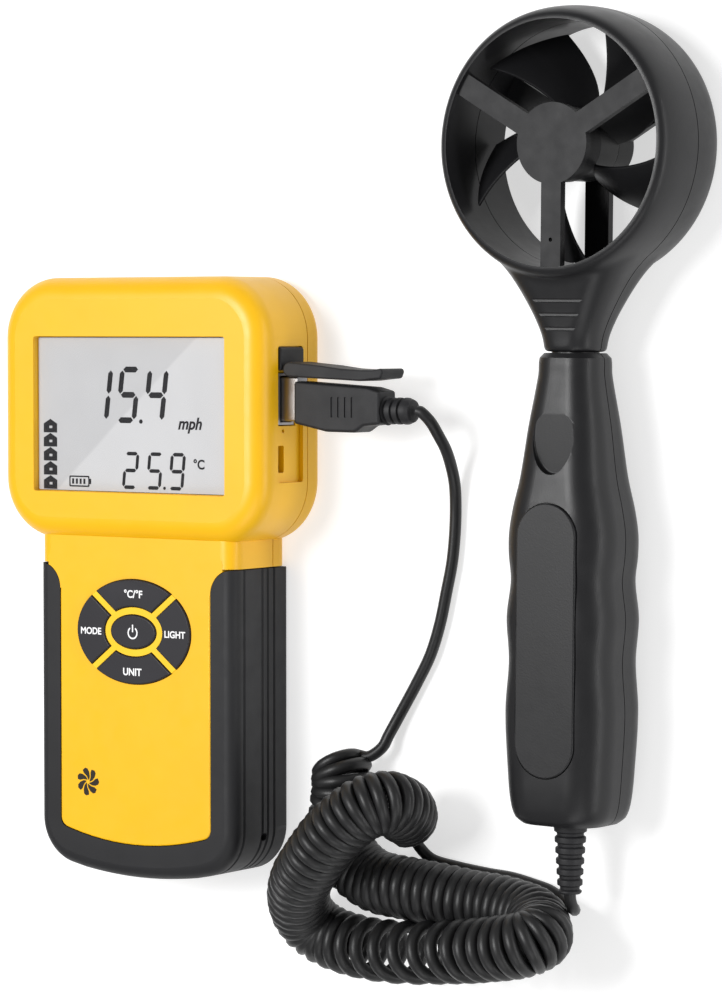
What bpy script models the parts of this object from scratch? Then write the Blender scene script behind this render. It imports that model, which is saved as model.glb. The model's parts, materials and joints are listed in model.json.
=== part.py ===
"""Vane anemometer: a hand-held meter, a vane probe and the curly lead that joins them.

The origin is the centre of the meter's back, +X is to the right of its display, +Y is
towards its top and +Z is out of its face. Everything lies on the plane Z = 0.
All dimensions are in millimetres and become metres when an object is made.
"""
import math

import bmesh
import bpy
from mathutils import Matrix, Vector

MM = 0.001
GAP = 0.3  # clearance between pieces that touch
REACH = 200.0  # longer than anything that a cutter has to pass through

# ---- driving dimensions: meter ----
HEAD_HALF = 46.2  # half width of the display head
HEAD_LOW = 9.6
HEAD_TOP = 82.5
HEAD_DEPTH = 28.4
HEAD_CORNER = 17.0
HEAD_RIM = 6.0
HEAD_BACK_RIM = 4.0
BODY_HALF = 34.4  # half width of the grip
BODY_END = -84.4
BODY_DEPTH = 25.5
BODY_ARC = 4.5  # rise of the arched bottom end
BOOT_TOP = 2.8
BOOT_WALL = 2.8
BOOT_RIM = 3.5
BOOT_BACK_RIM = 1.5
WALL = 2.4
SEAM = 7.5  # height where the front and rear cases meet
CORE_HALF = BODY_HALF - BOOT_WALL - GAP
CORE_END = -79.4
CORE_BACK = 1.9
CORE_FRONT = BODY_DEPTH - BOOT_WALL - GAP
PANEL_HALF = 26.4
PANEL_END = -75.0
PANEL_ARC = 4.0
PANEL_CORNER = 3.0
DISPLAY = (-33.4, 23.0, 33.4, 66.0)  # left, low, right, high edges of the window
LEDGE = 2.4  # width of the ledge that the window is glued on
WINDOW_TOP = HEAD_DEPTH - 0.6
WINDOW_THICK = 1.3
BOARD = (20.2, 21.2)  # back and front heights of the circuit board
MAT = (21.5, 22.1)
PANEL_WALL = 1.8
PAD_CENTRE = (0.0, -15.6)
PAD_HALF = (19.8, 14.5)  # outer ellipse of the four curved keys
RING_HALF = (10.2, 7.0)  # inner ellipse of the curved keys
POWER_HALF = (7.9, 4.7)
KEY_RISE = 0.7
KEY_FLANGE = (22.8, 23.4)  # back and front heights of the flange under the panel
KEY_MARGIN = 0.7  # how far the flange reaches past the key
SHOULDER = 7.0  # radius of the arcs that widen the panel to the collar
SHOULDER_HALF = 30.0
SPOKE = 2.2  # width of the panel's bars between the curved keys
BATTERY_LOW = (-13.2, -75.6, 2.6)
BATTERY_HIGH = (13.2, -29.8, 19.8)
DOOR_HALF = 15.0
DOOR_END = -79.2
DOOR_TOP = -20.0
BACK_OPENING = (16.0, -17.0)  # half width and top of the boot's window over the door
CASE_SCREWS = [(-38.0, 73.0, 0.8), (38.0, 73.0, 0.8), (-23.5, -68.5, 2.3), (23.5, -68.5, 2.3)]
BOSS_RADIUS = 3.5
SCREW_RADIUS = 1.3
SCREW_HEAD = 2.3

# ---- driving dimensions: port, cover and plug ----
POCKET_FLOOR = 45.0
POCKET = (26.5, 9.5, 63.6, 21.0)  # low Y, low Z, high Y, high Z
PORT_Y = 49.2
PORT_Z = 15.4
PORT_HALF = (7.0, 3.6)
SHELL_HALF = (6.0, 2.25)
SHELL_START = 34.0
PLUG_START = 50.2
PLUG_END = 78.2
RELIEF_Y = 46.4
RELIEF_END = 86.8
WIRE = 3.3  # diameter of the lead
COVER_HINGE = (49.3, 57.3)
COVER_BARREL = 2.0
COVER_DEPTH = (9.9, 20.6)
LATCH_SLOT = (29.2, 16.8, 36.6, 19.4)  # low Y, low Z, high Y, high Z

# ---- driving dimensions: probe, in its own frame: X = 0 on its axis ----
PROBE_X = 135.5  # where the probe's axis crosses Y = 0
PROBE_TURN = math.radians(-0.55)  # how far the probe lies turned on the table
VANE_Y = 115.4
VANE_DEPTH = 28.0
VANE_MIDDLE = VANE_DEPTH / 2
BORE = 31.5
LIP = 32.4
CROWN = 35.6
FRONT_HUB = (10.4, 9.7)  # radii of the front spider's disc and drum
REAR_HUB = 8.8
SPIDER_THICK = 2.4
SPOKE_WIDTH = 5.9
REAR_SPOKE_WIDTH = 7.2
ROTOR_HUB = 9.3
ROTOR_BACK = 8.5
ROTOR_FRONT = 18.4
BLADES = 5
BLADE_THICK = 0.9
FIT = 0.05
# radius, front edge's angle and height, back edge's angle and height
BLADE_ROWS = [
    (8.3, 106.0, 17.8, 72.0, 9.4), (13.7, 117.5, 18.4, 81.4, 7.0), (20.6, 128.0, 19.3, 94.0, 6.0),
    (27.0, 135.5, 20.2, 103.0, 5.6), (30.2, 139.0, 20.5, 106.5, 5.6),
]
SHAFT_RADIUS = 1.0
BEARING_RADIUS = 2.5
BEARING_THICK = 1.8
NECK_END = 62.3
HANDLE_END = -59.5
HANDLE_WALL = 2.4
PLATE_HALF = (8.8, 35.3)
PLATE_Y = -11.6
PLATE_THICK = 1.0
THUMB_HALF = (6.2, 10.0)
THUMB_Y = 41.0
PROBE_SCREWS = [16.0, -50.0]
PROBE_SEAT = 1.4  # height of the probe screws' heads
SLEEVE_END = -78.4
# half width, half depth and corner radius of the neck and the handle at some heights
NECK = [
    (104.0, 27.0, 13.6, 7.0), (96.0, 27.5, 13.6, 7.0), (89.7, 23.8, 13.0, 7.0), (82.4, 16.9, 11.2, 7.0),
    (73.4, 11.3, 9.1, 6.5), (66.4, 8.2, 8.0, 6.5), (NECK_END, 7.6, 7.6, 6.5),
]
SPIGOT = (5.8, 5.8, 4.8)  # the end of the neck that goes into the handle
HANDLE = [
    (62.0, 7.4, 7.4, 5.6), (60.8, 8.6, 8.4, 6.6), (56.3, 8.8, 8.7, 6.6), (43.0, 11.0, 10.4, 7.6),
    (29.9, 12.8, 12.0, 8.6), (22.0, 14.6, 12.9, 9.2), (15.7, 15.6, 13.3, 9.5), (10.0, 15.5, 13.5, 9.5),
    (3.3, 14.8, 13.5, 9.5), (-6.3, 15.9, 13.6, 9.5), (-17.4, 15.1, 13.6, 9.5), (-30.4, 16.0, 13.6, 9.5),
    (-45.1, 15.3, 13.4, 9.5), (-54.0, 14.5, 13.0, 9.4), (-58.0, 13.2, 12.2, 8.8),
    (HANDLE_END, 11.4, 10.8, 7.8),
]

# ---- the lead: points chosen along its way, from the plug to the probe ----
COIL_RADIUS = 8.8
PLUG_LEAD = [
    (88.0, 46.4, 15.4), (89.0, 46.2, 15.3), (91.1, 43.6, 14.0), (92.0, 39.8, 11.4),
    (92.3, 36.0, 8.4), (91.9, 31.7, 5.4), (91.6, 26.8, 3.2), (91.2, 21.1, 2.1),
    (90.8, 13.9, 1.8), (89.9, 5.8, 1.8), (88.1, -2.3, 1.8), (86.0, -11.0, 1.8),
    (82.9, -19.6, 1.8), (78.2, -27.9, 1.8), (73.0, -36.6, 2.2), (70.2, -42.0, 3.2),
    (68.9, -45.2, 4.3), (67.9, -48.0, 5.2),
]
COIL = [
    (57.5, -49.2, 8.8), (59.3, -53.3, 9.5), (59.4, -58.4, 9.8), (58.2, -63.9, 9.3),
    (58.3, -71.0, 8.8), (63.0, -77.3, 8.8), (70.5, -81.0, 9.2), (80.4, -81.9, 9.9),
    (92.2, -82.8, 10.2), (102.2, -83.8, 10.2), (110.1, -84.2, 10.4), (118.0, -85.1, 11.6),
    (124.2, -86.1, 14.0), (128.2, -88.0, 18.4), (131.1, -88.6, 22.8), (129.9, -89.9, 26.0),
    (125.9, -91.1, 27.2), (119.9, -92.3, 26.4), (111.4, -94.0, 24.0), (100.6, -95.8, 20.4),
    (89.4, -97.6, 16.4), (78.2, -98.9, 12.8), (67.6, -99.3, 10.2), (57.8, -98.4, 8.8),
    (51.1, -95.6, 10.0), (49.1, -91.0, 13.6), (51.3, -85.6, 18.8), (56.1, -79.7, 24.0),
    (63.0, -73.2, 28.0), (69.9, -66.4, 30.0), (75.8, -61.5, 30.2), (81.1, -58.0, 29.0),
    (84.8, -56.9, 26.0), (85.6, -58.4, 21.0), (84.0, -60.7, 15.4), (81.3, -62.9, 11.0),
]
PROBE_LEAD = [
    (80.8, -64.2, 9.6), (79.9, -68.2, 5.6), (80.2, -71.8, 2.8), (83.8, -74.9, 1.8),
    (91.4, -76.2, 1.8), (101.4, -77.2, 1.8), (109.3, -77.7, 1.8), (116.5, -79.0, 1.8),
    (121.5, -80.2, 1.8), (125.8, -82.2, 2.6), (130.2, -83.4, 5.0), (133.0, -83.3, 8.8),
    (134.6, -81.9, 12.4), (134.8, -79.5, 13.9),
]

# colour, roughness and metallic value of each material
FINISHES = {
    "yellow_plastic": ((0.93, 0.60, 0.01), 0.38, 0.0),
    "rubber": ((0.045, 0.045, 0.047), 0.62, 0.0),
    "black_plastic": ((0.028, 0.028, 0.030), 0.45, 0.0),
    "grey_plastic": ((0.060, 0.060, 0.062), 0.45, 0.0),
    "key_plastic": ((0.055, 0.055, 0.060), 0.50, 0.0),
    "clear_plastic": ((0.80, 0.82, 0.83), 0.10, 0.0),
    "display_glass": ((0.66, 0.68, 0.68), 0.30, 0.0),
    "white_plastic": ((0.80, 0.80, 0.78), 0.40, 0.0),
    "circuit_board": ((0.02, 0.18, 0.07), 0.45, 0.0),
    "steel": ((0.62, 0.62, 0.64), 0.28, 1.0),
    "brass": ((0.75, 0.58, 0.28), 0.30, 1.0),
    "cord_plastic": ((0.020, 0.020, 0.021), 0.42, 0.0),
}


def new_collection(name):
    collection = bpy.data.collections.new(name)
    bpy.context.scene.collection.children.link(collection)
    return collection


for stale in list(bpy.data.objects):
    bpy.data.objects.remove(stale, do_unlink=True)
PARTS = new_collection("vane_anemometer")
CUTTERS = new_collection("cutters")
MATERIALS = {}


def finish(name):
    """The material of that name, made once."""
    if name not in MATERIALS:
        colour, roughness, metallic = FINISHES[name]
        material = bpy.data.materials.new(name)
        material.use_nodes = True
        shader = material.node_tree.nodes["Principled BSDF"]
        shader.inputs["Base Color"].default_value = (*colour, 1.0)
        shader.inputs["Roughness"].default_value = roughness
        shader.inputs["Metallic"].default_value = metallic
        MATERIALS[name] = material
    return MATERIALS[name]


# ---- shapes, as bmeshes in millimetres ----
def bevel(bm, edges, radius, steps):
    bmesh.ops.bevel(bm, geom=edges, offset=radius, segments=steps, profile=0.5, affect="EDGES")


def rim_edges(bm, height):
    """The edges where a flat face at that height meets the sides."""
    rim = []
    for edge in bm.edges:
        level = all(abs(v.co.z - height) < 1e-4 for v in edge.verts)
        faces = [abs(face.normal.z) > 0.999 for face in edge.link_faces]
        if level and len(faces) == 2 and faces[0] != faces[1]:
            rim.append(edge)
    return rim


def block(low, high, corner=0.0, axis=2, top=0.0, bottom=0.0, steps=5, rim_steps=3):
    """A box whose edges along one axis, and whose top and bottom rims, are rounded."""
    bm = bmesh.new()
    bmesh.ops.create_cube(bm, size=1.0)
    low, high = Vector(low), Vector(high)
    for vert in bm.verts:
        vert.co = Vector(((low[i] + high[i]) / 2 + vert.co[i] * (high[i] - low[i]) for i in range(3)))
    if corner:
        along = [e for e in bm.edges if abs((e.verts[0].co - e.verts[1].co).normalized()[axis]) > 0.99]
        bevel(bm, along, corner, steps)
    for height, radius in ((high.z, top), (low.z, bottom)):
        if radius:
            bm.normal_update()
            bevel(bm, rim_edges(bm, height), radius, rim_steps)
    return bm


def rounded(corners, steps=4):
    """An outline from (x, y, radius) corners, with an arc at each corner that has a radius."""
    outline = []
    for i, (x, y, radius) in enumerate(corners):
        here = Vector((x, y))
        if not radius:
            outline.append(here)
            continue
        back = (Vector(corners[i - 1][:2]) - here).normalized()
        ahead = (Vector(corners[(i + 1) % len(corners)][:2]) - here).normalized()
        half = back.angle(ahead) / 2
        centre = here + (back + ahead).normalized() * radius / math.sin(half)
        start = here + back * radius / math.tan(half) - centre
        turn = start.angle_signed(here + ahead * radius / math.tan(half) - centre)
        for k in range(steps + 1):
            outline.append(centre + Matrix.Rotation(-turn * k / steps, 2) @ start)
    return outline


def ellipse(centre, halves, count):
    turns = [math.tau * k / count for k in range(count)]
    return [Vector((centre[0] + halves[0] * math.cos(t), centre[1] + halves[1] * math.sin(t))) for t in turns]


def slab(outline, low, high, top=0.0, bottom=0.0, rim_steps=3):
    """A flat outline, filled as a 2D curve and extruded from one height to another."""
    curve = bpy.data.curves.new("outline", "CURVE")
    curve.dimensions = "2D"
    curve.fill_mode = "BOTH"
    curve.extrude = (high - low) / 2
    spline = curve.splines.new("POLY")
    spline.points.add(len(outline) - 1)
    for point, place in zip(spline.points, outline):
        point.co = (place.x, place.y, 0.0, 1.0)
    spline.use_cyclic_u = True
    maker = bpy.data.objects.new("outline", curve)
    bpy.context.scene.collection.objects.link(maker)
    bpy.context.view_layer.update()
    mesh = bpy.data.meshes.new_from_object(maker.evaluated_get(bpy.context.evaluated_depsgraph_get()))
    bpy.data.objects.remove(maker, do_unlink=True)
    bm = bmesh.new()
    bm.from_mesh(mesh)
    bpy.data.meshes.remove(mesh)
    bmesh.ops.remove_doubles(bm, verts=bm.verts, dist=1e-4)
    bmesh.ops.dissolve_limit(bm, angle_limit=1e-4, verts=bm.verts, edges=bm.edges)
    bmesh.ops.translate(bm, verts=bm.verts, vec=(0, 0, (low + high) / 2))
    bmesh.ops.recalc_face_normals(bm, faces=bm.faces)
    for height, radius in ((high, top), (low, bottom)):
        if radius:
            bm.normal_update()
            bevel(bm, rim_edges(bm, height), radius, rim_steps)
    return bm


def rod(radius, low, high, at=(0.0, 0.0), sides=16, end_radius=None):
    """A cylinder or cone along Z."""
    bm = bmesh.new()
    place = Matrix.Translation((at[0], at[1], (low + high) / 2))
    bmesh.ops.create_cone(
        bm, cap_ends=True, segments=sides, radius1=radius, depth=high - low, matrix=place,
        radius2=radius if end_radius is None else end_radius,
    )
    return bm


def turned(profile, sides=32, at=(0.0, 0.0)):
    """A closed solid of revolution about Z from (radius, height) points, from top to bottom."""
    bm = bmesh.new()
    verts = [bm.verts.new((radius, 0.0, height)) for radius, height in profile]
    edges = [bm.edges.new(pair) for pair in zip(verts, verts[1:])]
    bmesh.ops.spin(
        bm, geom=verts + edges, cent=(0, 0, 0), axis=(0, 0, 1), angle=math.tau, steps=sides,
        use_duplicate=False,
    )
    bmesh.ops.remove_doubles(bm, verts=bm.verts, dist=1e-3)
    bmesh.ops.recalc_face_normals(bm, faces=bm.faces)
    bmesh.ops.translate(bm, verts=bm.verts, vec=(at[0], at[1], 0))
    return bm


def loft(sections, middle, inset=0.0):
    """A solid through rounded rectangles across Y, from (y, half width, half depth, radius)."""
    bm = bmesh.new()
    rings = []
    for y, half_width, half_depth, radius in sections:
        a, b, r = half_width - inset, half_depth - inset, max(radius - inset, 1.0)
        corners = [(a, b, r), (-a, b, r), (-a, -b, r), (a, -b, r)]
        rings.append([bm.verts.new((p.x, y, middle + p.y)) for p in rounded(corners)])
    for one, other in zip(rings, rings[1:]):
        for i in range(len(one)):
            j = (i + 1) % len(one)
            bm.faces.new((one[i], one[j], other[j], other[i]))
    bm.faces.new(rings[0])
    bm.faces.new(rings[-1])
    bmesh.ops.recalc_face_normals(bm, faces=bm.faces)
    return bm


def merged(*shapes):
    """Several bmeshes in one, still as separate bodies."""
    whole = shapes[0]
    for shape in shapes[1:]:
        mesh = bpy.data.meshes.new("shape")
        shape.to_mesh(mesh)
        whole.from_mesh(mesh)
        bpy.data.meshes.remove(mesh)
    return whole


def turn(bm, angle, axis, centre=(0.0, 0.0, 0.0)):
    bmesh.ops.rotate(bm, verts=bm.verts, cent=centre, matrix=Matrix.Rotation(angle, 3, axis))
    return bm


# ---- objects ----
def add(name, bm, collection, pivot=(0.0, 0.0, 0.0), parent=None):
    """An object with its origin at pivot, whose mesh is the bmesh in metres."""
    bmesh.ops.translate(bm, verts=bm.verts, vec=-Vector(pivot))
    bmesh.ops.scale(bm, verts=bm.verts, vec=(MM, MM, MM))
    mesh = bpy.data.meshes.new(name)
    bm.to_mesh(mesh)
    bm.free()
    mesh.shade_smooth()
    mesh.set_sharp_from_angle(angle=math.radians(32))
    item = bpy.data.objects.new(name, mesh)
    item.location = Vector(pivot) * MM
    item.parent = parent
    collection.objects.link(item)
    return item


def piece(name, material, bm, pivot=(0.0, 0.0, 0.0), parent=None):
    item = add(name, bm, PARTS, pivot, parent)
    item.data.materials.append(finish(material))
    return item


def boolean(item, operation, bm):
    """Cuts a shape out of a piece, or joins it on."""
    tool = add(f"{item.name}_{operation.lower()}_{len(item.modifiers)}", bm, CUTTERS, parent=item.parent)
    tool.hide_render = True
    tool.display_type = "WIRE"
    step = item.modifiers.new(tool.name, "BOOLEAN")
    step.operation = operation
    step.object = tool
    step.solver = "EXACT"
    return item


def cut(item, *shapes):
    for shape in shapes:
        boolean(item, "DIFFERENCE", shape)
    return item


def join(item, *shapes):
    for shape in shapes:
        boolean(item, "UNION", shape)
    return item


def smooth_route(points, step):
    """Points a step apart along the smooth curve through a route's own points."""
    ends = [points[0] * 2 - points[1], *points, points[-1] * 2 - points[-2]]
    fine = []
    for a, b, c, d in zip(ends, ends[1:], ends[2:], ends[3:]):
        for k in range(16):
            t = k / 16
            bend = 2 * a - 5 * b + 4 * c - d
            twist = 3 * b - a - 3 * c + d
            fine.append((2 * b + (c - a) * t + bend * t**2 + twist * t**3) / 2)
    fine.append(points[-1])
    lengths = [0.0]
    for one, other in zip(fine, fine[1:]):
        lengths.append(lengths[-1] + (other - one).length)
    count = max(2, round(lengths[-1] / step))
    route, i = [], 0
    for k in range(count + 1):
        wanted = lengths[-1] * k / count
        while i < len(lengths) - 2 and lengths[i + 1] < wanted:
            i += 1
        share = (wanted - lengths[i]) / (lengths[i + 1] - lengths[i])
        route.append(fine[i].lerp(fine[i + 1], share))
    return route


def tube(name, material, points, radius, step):
    """A round cord solid along a route, as a curve with filled caps."""
    curve = bpy.data.curves.new(name, "CURVE")
    curve.dimensions = "3D"
    curve.bevel_depth = radius * MM
    curve.bevel_resolution = 2
    curve.render_resolution_u = 0
    curve.use_fill_caps = True
    route = smooth_route([Vector(point) for point in points], step)
    spline = curve.splines.new("POLY")
    spline.points.add(len(route) - 1)
    for point, place in zip(spline.points, route):
        point.co = (*(place * MM), 1.0)
    curve.materials.append(finish(material))
    item = bpy.data.objects.new(name, curve)
    PARTS.objects.link(item)
    return item


# ---- meter ----
def grip_outline(half, end, top, arc, corner):
    """Straight sides, rounded corners and an arched bottom end."""
    flat = 1 - 1.15 * corner / half
    arched = [(x * half, end + arc * x**2, 0.0) for x in (flat, flat / 2, 0.0, -flat / 2, -flat)]
    return rounded(
        [(half, top, 0.0), (half, end + arc, corner), *arched, (-half, end + arc, corner), (-half, top, 0.0)]
    )


def shoulder_outline():
    """The top of the panel, which widens to the collar in two arcs."""
    centre_x, centre_y = PANEL_HALF + SHOULDER, BOOT_TOP - SHOULDER
    last = math.acos((centre_x - SHOULDER_HALF) / SHOULDER)
    arc = [
        (centre_x - SHOULDER * math.cos(last * k / 6), centre_y + SHOULDER * math.sin(last * k / 6))
        for k in range(7)
    ]
    right = [Vector(point) for point in [*arc, (SHOULDER_HALF, BOOT_TOP + 2), (SHOULDER_HALF - 5, HEAD_LOW + 4)]]
    return [*right, *(Vector((-point.x, point.y)) for point in reversed(right))]


def key_outline(side, grow):
    """One curved key, between two ellipses and two of the panel's bars; side 0 is the right key."""
    bar = SPOKE / 2 - grow
    outline = []
    for halves, back in (
        ((PAD_HALF[0] + grow, PAD_HALF[1] + grow), False),
        ((RING_HALF[0] - grow, RING_HALF[1] - grow), True),
    ):
        spare = bar / (sum(halves) / 2)
        start = math.radians(90 * side - 45) + spare
        sweep = math.pi / 2 - 2 * spare
        turns = [start + sweep * k / 7 for k in range(8)]
        for t in reversed(turns) if back else turns:
            outline.append(
                Vector((PAD_CENTRE[0] + halves[0] * math.cos(t), PAD_CENTRE[1] + halves[1] * math.sin(t)))
            )
    return outline


def power_outline(grow):
    return ellipse(PAD_CENTRE, (POWER_HALF[0] + grow, POWER_HALF[1] + grow), 24)


def add_key(name, outline):
    top = BODY_DEPTH + KEY_RISE
    key = piece(name, "key_plastic", slab(outline(0.0), KEY_FLANGE[1] - 0.1, top, top=0.4, rim_steps=2))
    join(key, slab(outline(KEY_MARGIN), *KEY_FLANGE))


def add_case(name, front):
    """The outer case, hollowed, and cut where its two halves meet."""
    case = piece(
        name, "yellow_plastic",
        block(
            (-HEAD_HALF, HEAD_LOW, 0), (HEAD_HALF, HEAD_TOP, HEAD_DEPTH), HEAD_CORNER,
            top=HEAD_RIM, bottom=HEAD_BACK_RIM,
        ),
    )
    inside_head = HEAD_LOW + 8
    join(
        case,
        block((-BODY_HALF, BOOT_TOP, 0), (BODY_HALF, inside_head, BODY_DEPTH), 4.5, axis=1, steps=3),
        slab(grip_outline(CORE_HALF, CORE_END, inside_head, BODY_ARC, 10), CORE_BACK, CORE_FRONT),
        slab(
            grip_outline(PANEL_HALF, PANEL_END, inside_head, PANEL_ARC, PANEL_CORNER),
            CORE_FRONT - 4, BODY_DEPTH, top=0.6,
        ),
        slab(shoulder_outline(), CORE_FRONT - 1, BODY_DEPTH),
    )
    cut(
        case,
        block(
            (WALL - HEAD_HALF, HEAD_LOW + WALL, WALL), (HEAD_HALF - WALL, HEAD_TOP - WALL, HEAD_DEPTH - 3),
            HEAD_CORNER - WALL, steps=3,
        ),
        slab(
            grip_outline(CORE_HALF - WALL, CORE_END + WALL, inside_head + 4, BODY_ARC, 8),
            CORE_BACK + 2.2, CORE_FRONT - 2,
        ),
        slab(
            grip_outline(PANEL_HALF - WALL, PANEL_END + WALL, inside_head + 4, PANEL_ARC, PANEL_CORNER),
            CORE_FRONT - 5, BODY_DEPTH - PANEL_WALL,
        ),
    )
    for x, y, head_low in CASE_SCREWS:
        shank = SCREW_RADIUS + GAP
        if front:
            join(case, rod(BOSS_RADIUS, SEAM, CORE_FRONT - 1 if y < 0 else HEAD_DEPTH - 2, (x, y)))
            cut(case, rod(shank, SEAM - 1, 17.5, (x, y)))
        else:
            join(case, rod(BOSS_RADIUS, 2.5, SEAM - GAP, (x, y)))
            cut(case, rod(shank, -1, SEAM + 1, (x, y)), rod(SCREW_HEAD + GAP, -1, head_low + 2.1, (x, y)))
    if front:
        finish_front(case)
        half = ((-REACH, -REACH, -REACH), (REACH, REACH, SEAM))
    else:
        cut(
            case,
            block((-DOOR_HALF - GAP, BATTERY_LOW[1], -5), (DOOR_HALF + GAP, DOOR_TOP, CORE_BACK + 2.4)),
            block((-DOOR_HALF - GAP, -REACH, -5), (DOOR_HALF + GAP, BATTERY_LOW[1] + 1, 2.6)),
        )
        half = ((-REACH, -REACH, SEAM - GAP), (REACH, REACH, REACH))
    cut(case, block(*half))


def finish_front(case):
    """The display opening, the key holes, the port's pocket and its latch slot."""
    low_y, low_z, high_y, high_z = POCKET
    join(
        case,
        block(
            (POCKET_FLOOR - WALL, low_y - 2, SEAM + 0.2), (HEAD_HALF - 1, high_y + 2, high_z + 2)
        ),
    )
    left, low, right, high = DISPLAY
    seat = WINDOW_TOP - WINDOW_THICK - GAP
    y_half, z_half = PORT_HALF
    cut(
        case,
        block((POCKET_FLOOR, low_y, low_z), (HEAD_HALF + 5, high_y, high_z), 0.8, axis=0, steps=2),
        block(
            (POCKET_FLOOR - 5, PORT_Y - y_half - GAP, PORT_Z - z_half - GAP),
            (POCKET_FLOOR + 1, PORT_Y + y_half + GAP, PORT_Z + z_half + GAP),
        ),
        block((POCKET_FLOOR - 5, *LATCH_SLOT[:2]), (POCKET_FLOOR + 1, *LATCH_SLOT[2:])),
        block((left - GAP, low - GAP, seat), (right + GAP, high + GAP, REACH)),
        block((left + LEDGE, low + LEDGE, seat - 5), (right - LEDGE, high - LEDGE, REACH)),
        slab(power_outline(GAP), 20, REACH),
    )
    for side in range(4):
        cut(case, slab(key_outline(side, GAP), 20, REACH))


def add_boot():
    boot = piece(
        "grip_boot", "rubber",
        slab(
            grip_outline(BODY_HALF, BODY_END, BOOT_TOP - GAP, BODY_ARC, 13), 0, BODY_DEPTH,
            top=BOOT_RIM, bottom=BOOT_BACK_RIM,
        ),
    )
    cut(
        boot,
        slab(
            grip_outline(CORE_HALF + GAP, CORE_END - GAP, 20, BODY_ARC, 10.3),
            CORE_BACK - GAP, CORE_FRONT + GAP,
        ),
    )
    half = PANEL_HALF + GAP
    top = BOOT_TOP - GAP
    flare = [(REACH, 20, 0), (REACH, top, 0), (half, top, 7)]
    arched = grip_outline(half, PANEL_END - GAP, top, PANEL_ARC, PANEL_CORNER)[1:-1]
    lower = [(point.x, point.y, 0) for point in arched]
    mirrored = [(-x, y, r) for x, y, r in reversed(flare)]
    cut(boot, slab(rounded([*flare, *lower, *mirrored]), CORE_FRONT - 1, REACH))
    opening_half, opening_top = BACK_OPENING
    cut(
        boot,
        block((-opening_half, -REACH, -5), (opening_half, opening_top, 2.8), 3.0, steps=3),
    )


def add_display():
    left, low, right, high = DISPLAY
    piece(
        "lcd_window", "clear_plastic",
        block((left, low, WINDOW_TOP - WINDOW_THICK), (right, high, WINDOW_TOP), 0.6, steps=2),
    )
    piece("lcd_glass", "display_glass", block((left + 0.6, low + 1, 23.3), (right - 0.6, high - 1, 25.0)))
    guide = block((left + 1, low + 1.4, 21.6), (right - 1, high - 1.4, 23.0))
    piece("backlight_guide", "white_plastic", guide)


def add_electronics():
    board = piece("main_board", "circuit_board", block((-31, 16, BOARD[0]), (31, 68, BOARD[1]), 2, steps=2))
    join(board, block((-23, -33, BOARD[0]), (23, 20, BOARD[1]), 1, steps=2))
    piece("key_mat", "rubber", slab(ellipse(PAD_CENTRE, (21.6, 16.0), 28), *MAT))
    chip = block((-7, 32, BOARD[0] - 1.6), (7, 46, BOARD[0] - GAP), 0.6, steps=2)
    piece("processor", "black_plastic", chip)
    piece("buzzer", "black_plastic", rod(6.0, BOARD[0] - 5.4, BOARD[0] - GAP, (-20, 56), 20))
    add_port()


def add_port():
    y_half, z_half = PORT_HALF
    port = piece(
        "usb_port", "steel",
        block((27, PORT_Y - y_half, PORT_Z - z_half), (POCKET_FLOOR - GAP, PORT_Y + y_half, PORT_Z + z_half)),
    )
    cut(
        port,
        block(
            (30, PORT_Y - SHELL_HALF[0] - 0.35, PORT_Z - SHELL_HALF[1] - 0.35),
            (POCKET_FLOOR + 1, PORT_Y + SHELL_HALF[0] + 0.35, PORT_Z + SHELL_HALF[1] + 0.35),
        ),
    )
    join(port, block((29, PORT_Y - 5, PORT_Z + 0.3), (40.5, PORT_Y + 5, PORT_Z + 1.5)))


def add_battery():
    x, low, back = BATTERY_LOW
    _, high, front = BATTERY_HIGH
    middle = (back + front) / 2
    battery = piece("battery", "steel", block(BATTERY_LOW, BATTERY_HIGH, 2.5, axis=1, steps=3))
    cap = block((x + 1, high + GAP, back + 1), (-x - 1, high + 5.5, front - 1))
    snap = piece("battery_snap", "black_plastic", cap)
    for side, radius in ((-6.4, 2.9), (6.4, 3.9)):
        stud = turn(rod(radius, -2.3, 0.3), math.pi / 2, "X")
        bmesh.ops.translate(stud, verts=stud.verts, vec=(side, high, middle))
        join(battery, stud)
        pocket = turn(rod(radius + GAP, -2.7, 1.0), math.pi / 2, "X")
        bmesh.ops.translate(pocket, verts=pocket.verts, vec=(side, high, middle))
        cut(snap, pocket)
        wire = [
            (side, high + 5.5 + GAP, middle), (side, high + 7.5, middle), (side, high + 9.5, middle + 2),
            (side, high + 10.2, middle + 5), (side, high + 10.2, BOARD[0] - GAP),
        ]
        tube("battery_wire_left" if side < 0 else "battery_wire_right", "rubber", wire, 0.7, 2.0)
    low, high = (-DOOR_HALF, DOOR_END, 0.3), (DOOR_HALF, DOOR_TOP - GAP, 2.3)
    piece("battery_door", "yellow_plastic", block(low, high, 1.5, steps=2, bottom=0.4, rim_steps=2))


def add_screw(name, x, y, head_low, length, parent=None):
    """A screw that goes in from the back."""
    screw = piece(name, "steel", rod(SCREW_HEAD, head_low, head_low + 1.8, (x, y)), parent=parent)
    join(screw, rod(SCREW_RADIUS, head_low + 1.5, head_low + length, (x, y), sides=10))
    cut(screw, block((x - 1.8, y - 0.35, head_low - 1), (x + 1.8, y + 0.35, head_low + 0.8)))
    cut(screw, block((x - 0.35, y - 1.8, head_low - 1), (x + 0.35, y + 1.8, head_low + 0.8)))


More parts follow.
